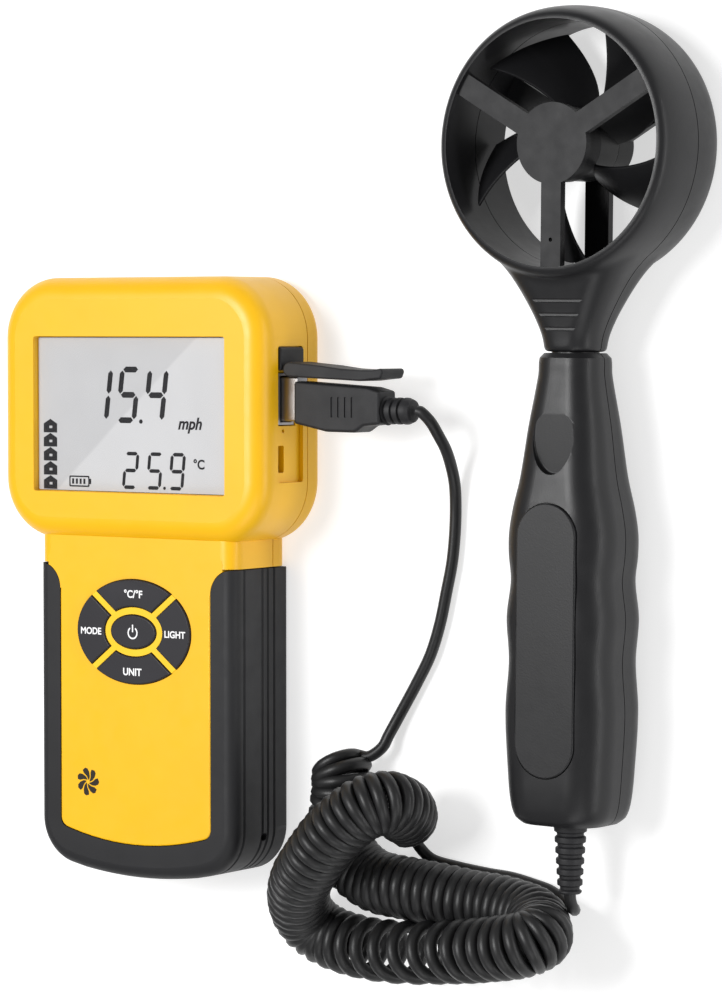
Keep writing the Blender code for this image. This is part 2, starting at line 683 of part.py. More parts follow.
def add_cover():
    """The rubber flap over the port, folded open, and its root that is held in the pocket."""
    back, front = COVER_DEPTH
    high_y = POCKET[2] - GAP
    root = block((POCKET_FLOOR + GAP, 57.0, back), (46.9, high_y, front), 0.6, steps=2)
    piece("cover_root", "rubber", root)
    x, y = COVER_HINGE
    barrel = COVER_BARREL
    arm = rounded([
        (x, y + barrel, 0), (66.5, 57.7, 0), (73.0, 57.5, 3), (80.5, 57.9, 1), (79.0, 54.8, 1.4),
        (72.5, 54.3, 3), (x, y - barrel, 0), (x - barrel * 0.87, y - barrel * 0.5, 0), (x - barrel, y, 0),
        (x - barrel * 0.87, y + barrel * 0.5, 0),
    ], steps=3)
    piece("port_cover", "rubber", slab(arm, back, front), pivot=(x, y, PORT_Z))


# ---- plug and lead ----
def add_plug():
    y_half, z_half = SHELL_HALF
    shell = piece(
        "usb_plug_shell", "steel",
        block(
            (SHELL_START, PORT_Y - y_half, PORT_Z - z_half),
            (PLUG_START - GAP, PORT_Y + y_half, PORT_Z + z_half),
        ),
    )
    cut(
        shell,
        block(
            (SHELL_START - 1, PORT_Y - y_half + 0.45, PORT_Z - z_half + 0.45),
            (PLUG_START - 1.3, PORT_Y + y_half - 0.45, PORT_Z + z_half - 0.45),
        ),
    )
    piece(
        "usb_plug_contacts", "white_plastic",
        block((SHELL_START + 1, PORT_Y - 5.2, PORT_Z - 1.6), (PLUG_START - 1.6, PORT_Y + 5.2, PORT_Z - 0.1)),
    )
    body = rounded([
        (PLUG_START, 54.1, 0.8), (PLUG_START, 42.7, 0.8), (60.7, 40.6, 8), (70.2, 40.5, 1.5),
        (73.0, 42.3, 1.5),
        (PLUG_END, 42.8, 0.8), (PLUG_END, 51.6, 0.8), (74.0, 52.7, 2),
    ], steps=3)
    shape = slab(body, PORT_Z - 4.1, PORT_Z + 4.1, top=1.2, bottom=1.2, rim_steps=2)
    piece("usb_plug_body", "black_plastic", shape)
    length = RELIEF_END - PLUG_END - GAP
    profile = [(0, length), (3.3, length), (3.6, length * 0.8), (3.1, length * 0.7), (3.1, length * 0.5)]
    profile += [(3.7, length * 0.4), (3.2, length * 0.3), (3.2, length * 0.15), (3.9, 0), (0, 0)]
    relief = turn(turned(profile, 16), math.pi / 2, "Y")
    bmesh.ops.translate(relief, verts=relief.verts, vec=(PLUG_END + GAP, RELIEF_Y, PORT_Z))
    piece("usb_plug_relief", "rubber", relief)


def add_lead():
    tube("plug_lead", "cord_plastic", PLUG_LEAD, WIRE / 2, 5.0)
    tube("cord_coil", "cord_plastic", COIL, COIL_RADIUS, 5.0)
    tube("probe_lead", "cord_plastic", PROBE_LEAD, WIRE / 2, 4.0)


# ---- probe ----
def outer_ring():
    """The vane ring with its crowned rim."""
    profile = [(BORE, VANE_DEPTH)]
    for k in range(8):
        height = VANE_DEPTH * (1 - k / 7)
        bulge = math.sqrt(max(0.0, 1 - ((height - VANE_MIDDLE) / VANE_MIDDLE) ** 2))
        profile.append((LIP + (CROWN - LIP) * bulge, height))
    return turned([*profile, (BORE, 0), profile[0]], 48, (0, VANE_Y))


def halves(front):
    """The block that removes the other half of a probe shell."""
    if front:
        return block((-REACH, -REACH, -REACH), (REACH, REACH, VANE_MIDDLE))
    return block((-REACH, -REACH, VANE_MIDDLE - GAP), (REACH, REACH, REACH))


def add_vane_shell(name, front, parent):
    shell = piece(name, "black_plastic", loft(NECK, VANE_MIDDLE), parent=parent)
    cut(shell, rod((BORE + LIP) / 2, -5, VANE_DEPTH + 5, (0, VANE_Y), 40))
    join(shell, outer_ring())
    join(shell, loft([(64.0, *SPIGOT), (56.6, *SPIGOT)], VANE_MIDDLE))
    inner = [(79.0, 12.5, 8.5, 6.0), *(section for section in NECK[:-1] if section[0] < 79)]
    inner += [(NECK_END, 6.8, 6.8, 5.6), (55.0, 6.8, 6.8, 5.6)]
    cut(shell, loft(inner, VANE_MIDDLE, 2.4), halves(front))


def spokes(width, low, high):
    """Three bars from the hub to the ring, one of them straight down."""
    bars = []
    for k in range(3):
        bar = block((-width / 2, VANE_Y - BORE + GAP, low), (width / 2, VANE_Y - 4, high))
        bars.append(turn(bar, math.tau * k / 3, "Z", (0, VANE_Y, 0)))
    return bars


def add_bearing(name, spider, low, shaft_end, parent):
    """A bearing ring in a spider's drum, with room for the end of the shaft behind it."""
    centre = (0, VANE_Y)
    inner = ROTOR_BACK if shaft_end < low else ROTOR_FRONT
    cut(spider, rod(BEARING_RADIUS + FIT, *sorted((low + BEARING_THICK / 2, inner)), centre, 20))
    cut(spider, rod(BEARING_RADIUS + FIT, low - FIT, low + BEARING_THICK + FIT, centre, 20))
    cut(spider, rod(SHAFT_RADIUS + GAP, *sorted((low + BEARING_THICK / 2, shaft_end)), centre, 16))
    bearing = piece(name, "brass", rod(BEARING_RADIUS, low, low + BEARING_THICK, centre, 20), parent=parent)
    cut(bearing, rod(SHAFT_RADIUS + FIT, -5, 40, centre, 16))


def add_spiders(parent):
    centre = (0, VANE_Y)
    top = VANE_DEPTH - 1.0
    low = top - SPIDER_THICK
    front = piece("front_spider", "grey_plastic", rod(FRONT_HUB[0], low, top, centre, 32), parent=parent)
    join(front, *spokes(SPOKE_WIDTH, low, top), rod(FRONT_HUB[1], ROTOR_FRONT + 0.4, low + 0.5, centre, 32))
    cut(front, rod(0.6, low - 1, top + 1, (0, VANE_Y - 24.6), 8))
    add_bearing("front_bearing", front, ROTOR_FRONT + 0.7, ROTOR_FRONT + 4.2, parent)
    drum = rod(REAR_HUB, 0.6, ROTOR_BACK - 0.4, centre, 32)
    rear = piece("rear_spider", "grey_plastic", drum, parent=parent)
    join(rear, *spokes(REAR_SPOKE_WIDTH, 2.0, 2.0 + SPIDER_THICK))
    add_bearing("rear_bearing", rear, ROTOR_BACK - 0.7 - BEARING_THICK, ROTOR_BACK - 4.2, parent)


def blade(number):
    """One swept and twisted blade, from inside the hub to the tip circle."""
    bm = bmesh.new()
    rows = []
    for radius, front_angle, front_height, back_angle, back_height in BLADE_ROWS:
        row = []
        for j in range(5):
            share = j / 4
            angle = math.radians(back_angle + (front_angle - back_angle) * share) + math.tau * number / BLADES
            height = back_height + (front_height - back_height) * share
            row.append(bm.verts.new((radius * math.cos(angle), VANE_Y + radius * math.sin(angle), height)))
        rows.append(row)
    for one, other in zip(rows, rows[1:]):
        for j in range(4):
            bm.faces.new((one[j], one[j + 1], other[j + 1], other[j]))
    bmesh.ops.recalc_face_normals(bm, faces=bm.faces)
    bmesh.ops.solidify(bm, geom=bm.faces[:], thickness=BLADE_THICK)
    bmesh.ops.recalc_face_normals(bm, faces=bm.faces)
    return bm


def add_rotor(parent):
    centre = (0, VANE_Y)
    pivot = (0, VANE_Y, VANE_MIDDLE)
    hub = rod(ROTOR_HUB, ROTOR_BACK, ROTOR_FRONT, centre, 30)
    rotor = piece("rotor", "black_plastic", hub, pivot, parent)
    for number in range(BLADES):
        join(rotor, blade(number))
    cut(rotor, rod(SHAFT_RADIUS + FIT, -5, 40, centre, 16))
    shaft = rod(SHAFT_RADIUS, ROTOR_BACK - 3.9, ROTOR_FRONT + 3.9, centre, 16)
    piece("rotor_shaft", "steel", shaft, pivot, parent)


def add_handle_shell(name, front, parent):
    shell = piece(name, "black_plastic", loft(HANDLE, VANE_MIDDLE), parent=parent)
    inner = [section for section in HANDLE if HANDLE_END + HANDLE_WALL < section[0] < 61]
    top = (inner[0][0] + 5, *inner[0][1:])
    end = (HANDLE_END + HANDLE_WALL, *HANDLE[-1][1:])
    inner = [section for section in inner if section[0] > end[0] + 2]
    cut(shell, loft([top, *inner, end], VANE_MIDDLE, HANDLE_WALL))
    for y in PROBE_SCREWS:
        join(shell, rod(BOSS_RADIUS, 2.0, 25.8, (0, y)))
        cut(shell, rod(SCREW_RADIUS + GAP, -1 if not front else VANE_MIDDLE - 1, 20.5, (0, y)))
        if not front:
            cut(shell, rod(SCREW_HEAD + GAP, -1, PROBE_SEAT + 2.1, (0, y)))
    exit_hole = turn(rod(2.9, -6, 6), math.pi / 2, "X")
    bmesh.ops.translate(exit_hole, verts=exit_hole.verts, vec=(0, HANDLE_END, VANE_MIDDLE))
    cut(shell, exit_hole, halves(front))
    if front:
        stadium = plate_outline(GAP)
        thumb = slab(ellipse((0, 0), THUMB_HALF, 24), 0, 10)
        turn(thumb, math.radians(-7), "X")
        bmesh.ops.translate(thumb, verts=thumb.verts, vec=(0, THUMB_Y, 23.6))
        cut(shell, slab(stadium, 26.1, 40), thumb)


def plate_outline(grow):
    half, end = PLATE_HALF[0] + grow, PLATE_HALF[1] + grow
    corners = [(half, end), (-half, end), (-half, -end), (half, -end)]
    return rounded([(x, PLATE_Y + y, half - 0.01) for x, y in corners], steps=6)


def add_handle(parent):
    for name, front in (("handle_front_shell", True), ("handle_rear_shell", False)):
        add_handle_shell(name, front, parent)
    plate = slab(plate_outline(0.0), 26.4, 26.4 + PLATE_THICK, top=0.3, rim_steps=1)
    piece("handle_plate", "black_plastic", plate, parent=parent)
    for number, y in enumerate(PROBE_SCREWS, 1):
        add_screw(f"handle_screw_{number}", 0, y, PROBE_SEAT, 15.0, parent)
    profile = [(0, 5.2), (4.2, 5.2), (4.2, 3.2), (2.5, 3.2), (2.5, -GAP), (4.3, -GAP)]
    ribs = 5
    for k in range(ribs):
        start = -GAP - (k + 0.55) * (HANDLE_END - SLEEVE_END - GAP) / ribs
        end = -GAP - (k + 1.0) * (HANDLE_END - SLEEVE_END - GAP) / ribs
        radius = 4.3 - 1.1 * (k + 1) / ribs
        groove = [(radius - 0.5, start - 0.4), (radius - 0.5, end + 0.4)]
        profile += [(radius + 0.1, start), *groove, (radius, end)]
    profile.append((0, profile[-1][1]))
    sleeve = turn(turned(profile, 16), -math.pi / 2, "X")
    bmesh.ops.translate(sleeve, verts=sleeve.verts, vec=(0, HANDLE_END, VANE_MIDDLE))
    piece("cord_sleeve", "rubber", sleeve, parent=parent)


def add_probe():
    probe = bpy.data.objects.new("probe_frame", None)
    probe.location = (PROBE_X * MM, 0, 0)
    probe.rotation_euler = (0, 0, PROBE_TURN)
    PARTS.objects.link(probe)
    add_vane_shell("vane_front_shell", True, probe)
    add_vane_shell("vane_rear_shell", False, probe)
    add_spiders(probe)
    add_rotor(probe)
    add_handle(probe)
    piece("speed_sensor", "circuit_board", block((-4, 65, 13.2), (4, 76, 14.4)), parent=probe)
    piece("temperature_sensor", "brass", rod(1.0, 15.0, 18.0, (0, 72)), parent=probe)
    return probe


def main():
    add_case("front_case", True)
    add_case("rear_case", False)
    add_boot()
    add_display()
    add_electronics()
    add_battery()
    for number, (x, y, head_low) in enumerate(CASE_SCREWS, 1):
        add_screw(f"case_screw_{number}", x, y, head_low, 14.0)
    add_key("power_button", power_outline)
    for side, name in enumerate(("light_button", "temperature_button", "mode_button", "unit_button")):
        add_key(name, lambda grow, side=side: key_outline(side, grow))
    add_cover()
    add_plug()
    add_lead()
    add_probe()


main()
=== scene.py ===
"""The look of the handheld vane anemometer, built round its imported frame.

Lengths are in millimetres until `MM` is applied.
"""
import json
import math
from functools import cache

import bmesh
import bpy
from mathutils import Matrix, Vector


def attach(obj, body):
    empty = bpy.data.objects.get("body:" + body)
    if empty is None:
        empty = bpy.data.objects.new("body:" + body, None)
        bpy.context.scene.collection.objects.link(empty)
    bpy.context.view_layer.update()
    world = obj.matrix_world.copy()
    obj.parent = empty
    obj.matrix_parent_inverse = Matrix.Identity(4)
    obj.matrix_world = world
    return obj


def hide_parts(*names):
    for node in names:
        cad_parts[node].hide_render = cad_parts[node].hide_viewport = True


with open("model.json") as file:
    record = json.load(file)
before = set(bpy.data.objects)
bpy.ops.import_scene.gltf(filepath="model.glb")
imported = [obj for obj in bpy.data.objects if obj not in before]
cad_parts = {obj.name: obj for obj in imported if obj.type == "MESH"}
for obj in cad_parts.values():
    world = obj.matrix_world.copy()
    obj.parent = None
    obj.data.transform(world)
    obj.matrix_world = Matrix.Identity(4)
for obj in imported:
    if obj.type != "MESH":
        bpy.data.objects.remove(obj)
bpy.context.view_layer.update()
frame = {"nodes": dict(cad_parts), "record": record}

MM = 0.001
ROOT = "anemometer"


# ---- camera, light and floor ----
CAMERA_PLACE = Vector((643.0, 68.44, 834.3))
CAMERA_YAW = math.radians(35.0)
CAMERA_PITCH = math.radians(2.6366)
CAMERA_LENS = 134.46


def add_camera():
    yaw, pitch = CAMERA_YAW, CAMERA_PITCH
    right = Vector((math.cos(yaw), 0, -math.sin(yaw)))
    level = Vector((math.sin(yaw), 0, math.cos(yaw)))
    back = level * math.cos(pitch) + Vector((0, math.sin(pitch), 0))
    camera = bpy.data.objects.new("camera", bpy.data.cameras.new("camera"))
    camera.matrix_world = Matrix.Translation(CAMERA_PLACE * MM) @ Matrix(
        (right, back.cross(right), back)
    ).transposed().to_4x4()
    camera.data.lens = CAMERA_LENS
    camera.data.sensor_width = 36.0
    camera.data.clip_start = 0.05
    bpy.context.scene.collection.objects.link(camera)
    bpy.context.scene.camera = camera


def add_light(name, place, target, size, power):
    light = bpy.data.objects.new(name, bpy.data.lights.new(name, "AREA"))
    light.data.shape = "RECTANGLE"
    light.data.size, light.data.size_y = size
    light.data.energy = power
    light.location = place
    light.rotation_euler = (Vector(target) - Vector(place)).to_track_quat("-Z", "Y").to_euler()
    bpy.context.scene.collection.objects.link(light)


def add_stage():
    bm = bmesh.new()
    bmesh.ops.create_grid(bm, x_segments=2, y_segments=2, size=4.0)
    floor = mesh_object("floor", bm, floor_finish())
    floor.location = (0, 0, -0.0004)
    centre = (0.06, 0.02, 0.0)
    add_light("key", (-0.30, 0.25, 1.2), centre, (0.5, 0.5), 14.0)
    add_light("strip", (1.3, 0.0, 0.22), centre, (1.5, 0.09), 6.0)
    add_light("fill", (0.5, -0.9, 0.9), centre, (1.0, 0.6), 4.0)
    world = bpy.data.worlds.new("studio")
    world.use_nodes = True
    world.node_tree.nodes["Background"].inputs["Color"].default_value = (1, 1, 1, 1)
    world.node_tree.nodes["Background"].inputs["Strength"].default_value = 0.34
    bpy.context.scene.world = world
    bpy.context.scene.view_settings.view_transform = "Standard"


# ---- finishes ----
class Nodes:
    """A short way to write a material's node tree."""

    def __init__(self, name):
        self.material = bpy.data.materials.new(name)
        self.material.use_nodes = True
        self.tree = self.material.node_tree
        self.shader = self.tree.nodes["Principled BSDF"]
        self.place = self.add("ShaderNodeTexCoord").outputs["Object"]

    def add(self, kind, inputs=None, **settings):
        node = self.tree.nodes.new(kind)
        for key, value in settings.items():
            setattr(node, key, value)
        for key, value in (inputs or {}).items():
            if isinstance(value, bpy.types.NodeSocket):
                self.tree.links.new(value, node.inputs[key])
            else:
                node.inputs[key].default_value = value
        return node

    def noise(self, scale, detail=2.0, roughness=0.5):
        inputs = {"Vector": self.place, "Scale": scale, "Detail": detail, "Roughness": roughness}
        return self.add("ShaderNodeTexNoise", inputs).outputs["Fac"]

    def ramp(self, value, low, high, first, last):
        """value from low to high turned to colours or numbers from first to last."""
        node = self.add("ShaderNodeMapRange", {"Value": value, "From Min": low, "From Max": high})
        if isinstance(first, tuple):
            return self.mix(node.outputs["Result"], first, last)
        node.inputs["To Min"].default_value = first
        node.inputs["To Max"].default_value = last
        return node.outputs["Result"]

    def mix(self, share, one, other):
        node = self.add("ShaderNodeMix", {"Factor": share}, data_type="RGBA")
        a, b = [s for s in node.inputs if s.type == "RGBA"][:2]
        for socket, value in ((a, one), (b, other)):
            if isinstance(value, bpy.types.NodeSocket):
                self.tree.links.new(value, socket)
            else:
                socket.default_value = (*value[:3], 1.0)
        return [s for s in node.outputs if s.type == "RGBA"][0]

    def bump(self, height, distance, strength):
        inputs = {"Height": height, "Distance": distance, "Strength": strength}
        return self.add("ShaderNodeBump", inputs).outputs["Normal"]

    def set(self, **inputs):
        for key, value in inputs.items():
            socket = self.shader.inputs[key.replace("_", " ")]
            if isinstance(value, bpy.types.NodeSocket):
                self.tree.links.new(value, socket)
            else:
                socket.default_value = (*value, 1.0) if isinstance(value, tuple) else value
        return self.material


def shade(colour, by):
    return tuple(channel * by for channel in colour)


@cache
def moulded(
    name, colour, roughness, grain=2500.0, depth=0.00004, mottle=0.10, specular=0.5, metallic=0.0, wear=0.35
):
    """A moulded skin: mottled colour, uneven gloss, a fine grain and rubbed edges."""
    n = Nodes(name)
    cloud = n.noise(60.0, 4.0)
    body = n.ramp(cloud, 0.3, 0.7, shade(colour, 1 - mottle), shade(colour, 1 + mottle))
    edge = n.add("ShaderNodeNewGeometry").outputs["Pointiness"]
    rubbed = n.ramp(edge, 0.52, 0.60, 0.0, wear)
    base = n.mix(rubbed, body, tuple(min(1.0, channel * 1.4 + 0.003) for channel in colour))
    gloss = n.ramp(n.noise(220.0, 3.0), 0.25, 0.75, roughness * 0.9, roughness * 1.1)
    normal = n.bump(n.noise(grain, 1.0), depth, 0.35)
    return n.set(
        Base_Color=base, Roughness=gloss, Normal=normal, Specular_IOR_Level=specular, Metallic=metallic
    )


def floor_finish():
    n = Nodes("floor_paper")
    paper = n.ramp(n.noise(30.0), 0.3, 0.7, (0.50, 0.50, 0.50), (0.53, 0.53, 0.53))
    return n.set(Base_Color=paper, Roughness=0.8, Emission_Color=(1.0, 1.0, 1.0), Emission_Strength=0.62)


def yellow():
    return moulded("yellow_case", (0.86, 0.465, 0.0), 0.40, mottle=0.02, depth=0.00002, wear=0.0)


def rubber():
    return moulded("black_rubber", (0.014, 0.014, 0.0155), 0.55, grain=3200.0, depth=0.00006, specular=0.3)


def black():
    return moulded("black_plastic", (0.010, 0.010, 0.011), 0.38, depth=0.00004, specular=0.31)


def grey():
    return moulded("grey_plastic", (0.012, 0.012, 0.013), 0.5, specular=0.22)


def key_skin():
    return moulded("key_skin", (0.018, 0.017, 0.021), 0.48, depth=0.00002, specular=0.3)


def ink(name, colour):
    return moulded(name, colour, 0.6, depth=0.00001, mottle=0.04, specular=0.1)


def white():
    return moulded("white_plastic", (0.80, 0.80, 0.78), 0.40)


def board():
    return moulded("board_green", (0.02, 0.18, 0.07), 0.45)


@cache
def glass_with_painted_reflection():
    """The display's pale glass with a painted reflection: a little lighter beyond a line that runs across
    it.
    """
    n = Nodes("glass_with_painted_reflection")
    axes = n.add("ShaderNodeSeparateXYZ", {"Vector": n.place}).outputs
    rise = n.add("ShaderNodeMath", {0: axes["X"], 1: 0.85}, operation="MULTIPLY").outputs[0]
    side = n.add("ShaderNodeMath", {0: rise, 1: axes["Y"]}, operation="SUBTRACT").outputs[0]
    drift = n.ramp(n.noise(18.0), 0.3, 0.7, -0.0006, 0.0006)
    side = n.add("ShaderNodeMath", {0: side, 1: drift}, operation="ADD").outputs[0]
    # painted reflection: the glass is lighter on one side of a slanted line
    base = n.ramp(side, -0.0466, -0.0455, (0.455, 0.455, 0.465), (0.53, 0.53, 0.54))
    return n.set(Base_Color=base, Roughness=0.5)


@cache
def lens_clear():
    """Clear plastic with a very faint haze in it."""
    n = Nodes("lens_clear")
    haze = n.ramp(n.noise(90.0), 0.3, 0.7, 0.01, 0.025)
    return n.set(Base_Color=(0.4, 0.4, 0.4), Roughness=0.06, Alpha=haze)


def cord_skin():
    return moulded("cord_skin", (0.012, 0.012, 0.0125), 0.42, grain=1800.0, depth=0.00003, specular=0.35)


def steel():
    return moulded("plated_steel", (0.34, 0.34, 0.35), 0.34, grain=900.0, mottle=0.04, metallic=1.0)


def brass():
    return moulded("brass", (0.75, 0.58, 0.28), 0.3, metallic=1.0)


LOOKS = {
    "yellow_plastic": yellow, "rubber": rubber, "black_plastic": black, "grey_plastic": grey,
    "key_plastic": key_skin, "steel": steel, "brass": brass, "clear_plastic": lens_clear,
    "display_glass": glass_with_painted_reflection, "white_plastic": white, "circuit_board": board,
    "cord_plastic": cord_skin,
}


# ---- mesh helpers; shapes are in millimetres ----
REACH = 200.0
PROBE_X = 135.5
PROBE_LEAN = math.radians(-0.55)
PROBE = Matrix.Translation((PROBE_X, 0, 0)) @ Matrix.Rotation(PROBE_LEAN, 4, "Z")


def mesh_object(name, bm, material=None):
    mesh = bpy.data.meshes.new(name)
    bm.to_mesh(mesh)
    bm.free()
    mesh.materials.append(material)
    item = bpy.data.objects.new(name, mesh)
    bpy.context.scene.collection.objects.link(item)
    return item


def from_object(item, *modifiers):
    """The item's evaluated mesh as a bmesh, after the given (kind, settings) modifiers; the item goes."""
    for kind, settings in modifiers:
        step = item.modifiers.new(kind, kind)
        for key, value in settings.items():
            setattr(step, key, value)
    bm = bmesh.new()
    bm.from_object(item, bpy.context.evaluated_depsgraph_get())
    bpy.data.objects.remove(item)
    return bm


def worked(bm, *modifiers):
    """A bmesh after modifiers."""
    return from_object(mesh_object("work", bm), *modifiers)


def shaped(bm, joins=(), cuts=(), edge=0.0, edge_steps=2, edge_angle=35.0):
    """Joins and cuts shapes in turn, then rounds the edges that are left sharp."""
    item = mesh_object("work", bm)
    tools = []
    for operation, shapes in (("UNION", joins), ("DIFFERENCE", cuts)):
        for shape in shapes:
            tool = mesh_object("tool", shape)
            tools.append(tool)
            step = item.modifiers.new("step", "BOOLEAN")
            step.operation, step.solver, step.object = operation, "EXACT", tool
    bm = from_object(item)
    for tool in tools:
        bpy.data.objects.remove(tool)
    bmesh.ops.remove_doubles(bm, verts=bm.verts, dist=1e-3)
    if edge:
        bmesh.ops.dissolve_limit(bm, angle_limit=0.002, verts=bm.verts, edges=bm.edges)
        bm = worked(bm, ("BEVEL", {
            "width": edge, "segments": edge_steps, "limit_method": "ANGLE",
            "angle_limit": math.radians(edge_angle), "use_clamp_overlap": True, "miter_outer": "MITER_ARC",
        }))
    return bm


def piece(name, bm, slot, replaced=(), body=ROOT, place=None, sharp=32.0, finish=None):
    """A finished piece in metres: it rides on a body and may stand for CAD nodes."""
    if place is not None:
        bm.transform(place)
    bmesh.ops.scale(bm, vec=(MM, MM, MM), verts=bm.verts)
    item = mesh_object(name, bm, finish or LOOKS[slot]())
    item.data.shade_smooth()
    item.data.set_sharp_from_angle(angle=math.radians(sharp))
    for face in item.data.polygons:  # those square to an axis stay flat
        face.use_smooth = max(abs(share) for share in face.normal) < 0.99999
    item.modifiers.new("normals", "WEIGHTED_NORMAL").keep_sharp = True
    if replaced:
        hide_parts(*replaced)
    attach(item, body)
    return item


def below(height):
    return block((-REACH, -REACH, -REACH), (REACH, REACH, height))


def above(height):
    return block((-REACH, -REACH, height), (REACH, REACH, REACH))


def bevel(bm, edges, radius, steps):
    if radius and edges:
        bmesh.ops.bevel(
            bm, geom=edges, offset=radius, offset_type="OFFSET", segments=steps, profile=0.5,
            affect="EDGES", clamp_overlap=False,
        )


def rim_edges(bm, height):
    return [e for e in bm.edges if all(abs(v.co.z - height) < 1e-4 for v in e.verts)]


def block(low, high, corner=0.0, axis=2, top=0.0, bottom=0.0, steps=10, rim_steps=7):
    """A box whose edges along one axis are rounded, and then its upper and lower rims."""
    low, high = Vector(low), Vector(high)
    bm = bmesh.new()
    bmesh.ops.create_cube(bm, size=1.0)
    for v in bm.verts:
        v.co = (low + high) / 2 + Vector(a * b for a, b in zip(v.co, high - low))
    along = [e for e in bm.edges if abs((e.verts[0].co - e.verts[1].co).normalized()[axis]) > 0.99]
    bevel(bm, along, corner, steps)
    bevel(bm, rim_edges(bm, high.z), top, rim_steps)
    bevel(bm, rim_edges(bm, low.z), bottom, rim_steps)
    return bm


def rounded(corners, steps=8):
    """A closed outline through (x, y, radius) corners, counter-clockwise."""
    outline = []
    for i, (x, y, radius) in enumerate(corners):
        here = Vector((x, y))
        before = Vector(corners[i - 1][:2]) - here
        after = Vector(corners[(i + 1) % len(corners)][:2]) - here
        if not radius:
            outline.append(here)
            continue
        half = before.angle(after) / 2
        reach = radius / math.tan(half)
        start = here + before.normalized() * reach
        end = here + after.normalized() * reach
        centre = here + (before.normalized() + after.normalized()).normalized() * (radius / math.sin(half))
        spoke, last = start - centre, end - centre
        sweep = spoke.angle_signed(last)
        for k in range(steps + 1):
            outline.append(centre + Matrix.Rotation(-sweep * k / steps, 2) @ spoke)
    return outline


def on_ellipse(halves, angle, centre=(0.0, 0.0)):
    return Vector((centre[0] + halves[0] * math.cos(angle), centre[1] + halves[1] * math.sin(angle)))


def ellipse(centre, halves, count=72):
    return [on_ellipse(halves, math.tau * k / count, centre) for k in range(count)]


def slab(outline, low, high, top=0.0, bottom=0.0, rim_steps=4):
    """A flat plate from an outline, with rounded upper and lower rims."""
    bm = bmesh.new()
    face = bm.faces.new([bm.verts.new((*point, low)) for point in outline])
    bm.normal_update()
    if face.normal.z > 0:
        face.normal_flip()
    lifted = bmesh.ops.extrude_face_region(bm, geom=[face])["geom"]
    upper = [v for v in lifted if isinstance(v, bmesh.types.BMVert)]
    bmesh.ops.translate(bm, verts=upper, vec=(0, 0, high - low))
    bmesh.ops.recalc_face_normals(bm, faces=bm.faces)
    bevel(bm, rim_edges(bm, high), top, rim_steps)
    bevel(bm, rim_edges(bm, low), bottom, rim_steps)
    return bm


def rod(radius, low, high, at=(0.0, 0.0), sides=48):
    """A cylinder along Z."""
    bm = bmesh.new()
    bmesh.ops.create_cone(
        bm, cap_ends=True, segments=sides, radius1=radius, radius2=radius, depth=high - low,
        matrix=Matrix.Translation((at[0], at[1], (low + high) / 2)),
    )
    return bm


def turned(profile, sides=64, at=(0.0, 0.0)):
    """A closed solid of revolution about Z from (radius, height) points, from top to bottom."""
    bm = bmesh.new()
    verts = [bm.verts.new((radius, 0.0, height)) for radius, height in profile]
    edges = [bm.edges.new(pair) for pair in zip(verts, verts[1:])]
    bmesh.ops.spin(
        bm, geom=verts + edges, cent=(0, 0, 0), axis=(0, 0, 1), angle=math.tau, steps=sides,
        use_duplicate=False,
    )
    bmesh.ops.remove_doubles(bm, verts=bm.verts, dist=1e-3)
    bmesh.ops.recalc_face_normals(bm, faces=bm.faces)
    bmesh.ops.translate(bm, verts=bm.verts, vec=(at[0], at[1], 0))
    return bm


def turn(bm, angle, axis, centre=(0.0, 0.0, 0.0)):
    bmesh.ops.rotate(bm, verts=bm.verts, cent=centre, matrix=Matrix.Rotation(angle, 3, axis))
    return bm


def moved(bm, x, y, z):
    bmesh.ops.translate(bm, verts=bm.verts, vec=(x, y, z))
    return bm


def merged(*shapes):
    whole = shapes[0]
    for shape in shapes[1:]:
        mesh = bpy.data.meshes.new("shape")
        shape.to_mesh(mesh)
        whole.from_mesh(mesh)
        bpy.data.meshes.remove(mesh)
    return whole


def between(sections, step):
    """Sections a step apart along the smooth curve through the given ones, from (y, a, b, c)."""
    fine = []
    ends = [sections[0], *sections, sections[-1]]
    for p, q, r, s in zip(ends, ends[1:], ends[2:], ends[3:]):
        count = max(1, round(abs(r[0] - q[0]) / step))
        for k in range(count):
            t = k / count
            row = [q[0] + (r[0] - q[0]) * t]
            for i in (1, 2, 3):
                start = (r[i] - p[i]) / (r[0] - p[0]) if r[0] != p[0] else 0.0
                end = (s[i] - q[i]) / (s[0] - q[0]) if s[0] != q[0] else 0.0
                gap = r[0] - q[0]
                row.append(
                    q[i] * (2 * t**3 - 3 * t**2 + 1) + start * gap * (t**3 - 2 * t**2 + t)
                    + r[i] * (3 * t**2 - 2 * t**3) + end * gap * (t**3 - t**2)
                )
            fine.append(tuple(row))
    return [*fine, sections[-1]]


def skin(bm, rings):
    """Closes rings of vertices, each joined to the next, into a solid with flat ends."""
    for one, other in zip(rings, rings[1:]):
        for i in range(len(one)):
            j = (i + 1) % len(one)
            bm.faces.new((one[i], one[j], other[j], other[i]))
    bm.faces.new(rings[0])
    bm.faces.new(rings[-1])
    bmesh.ops.recalc_face_normals(bm, faces=bm.faces)
    return bm


def loft(sections, middle, inset=0.0, steps=10, flats=3):
    """A solid through rounded rectangles across Y, from (y, half width, half depth, radius)."""
    bm = bmesh.new()
    rings = []
    for y, half_width, half_depth, radius in sections:
        a, b = half_width - inset, half_depth - inset
        r = min(max(radius - inset, 1.0), min(a, b) - 0.05)
        outline = rounded([(a, b, r), (-a, b, r), (-a, -b, r), (a, -b, r)], steps)
        ring = []
        for i, point in enumerate(outline):
            ring.append(point)
            if (i + 1) % (steps + 1) == 0:
                following = outline[(i + 1) % len(outline)]
                ring += [point.lerp(following, k / flats) for k in range(1, flats)]
        rings.append([bm.verts.new((p.x, y, middle + p.y)) for p in ring])
    return skin(bm, rings)


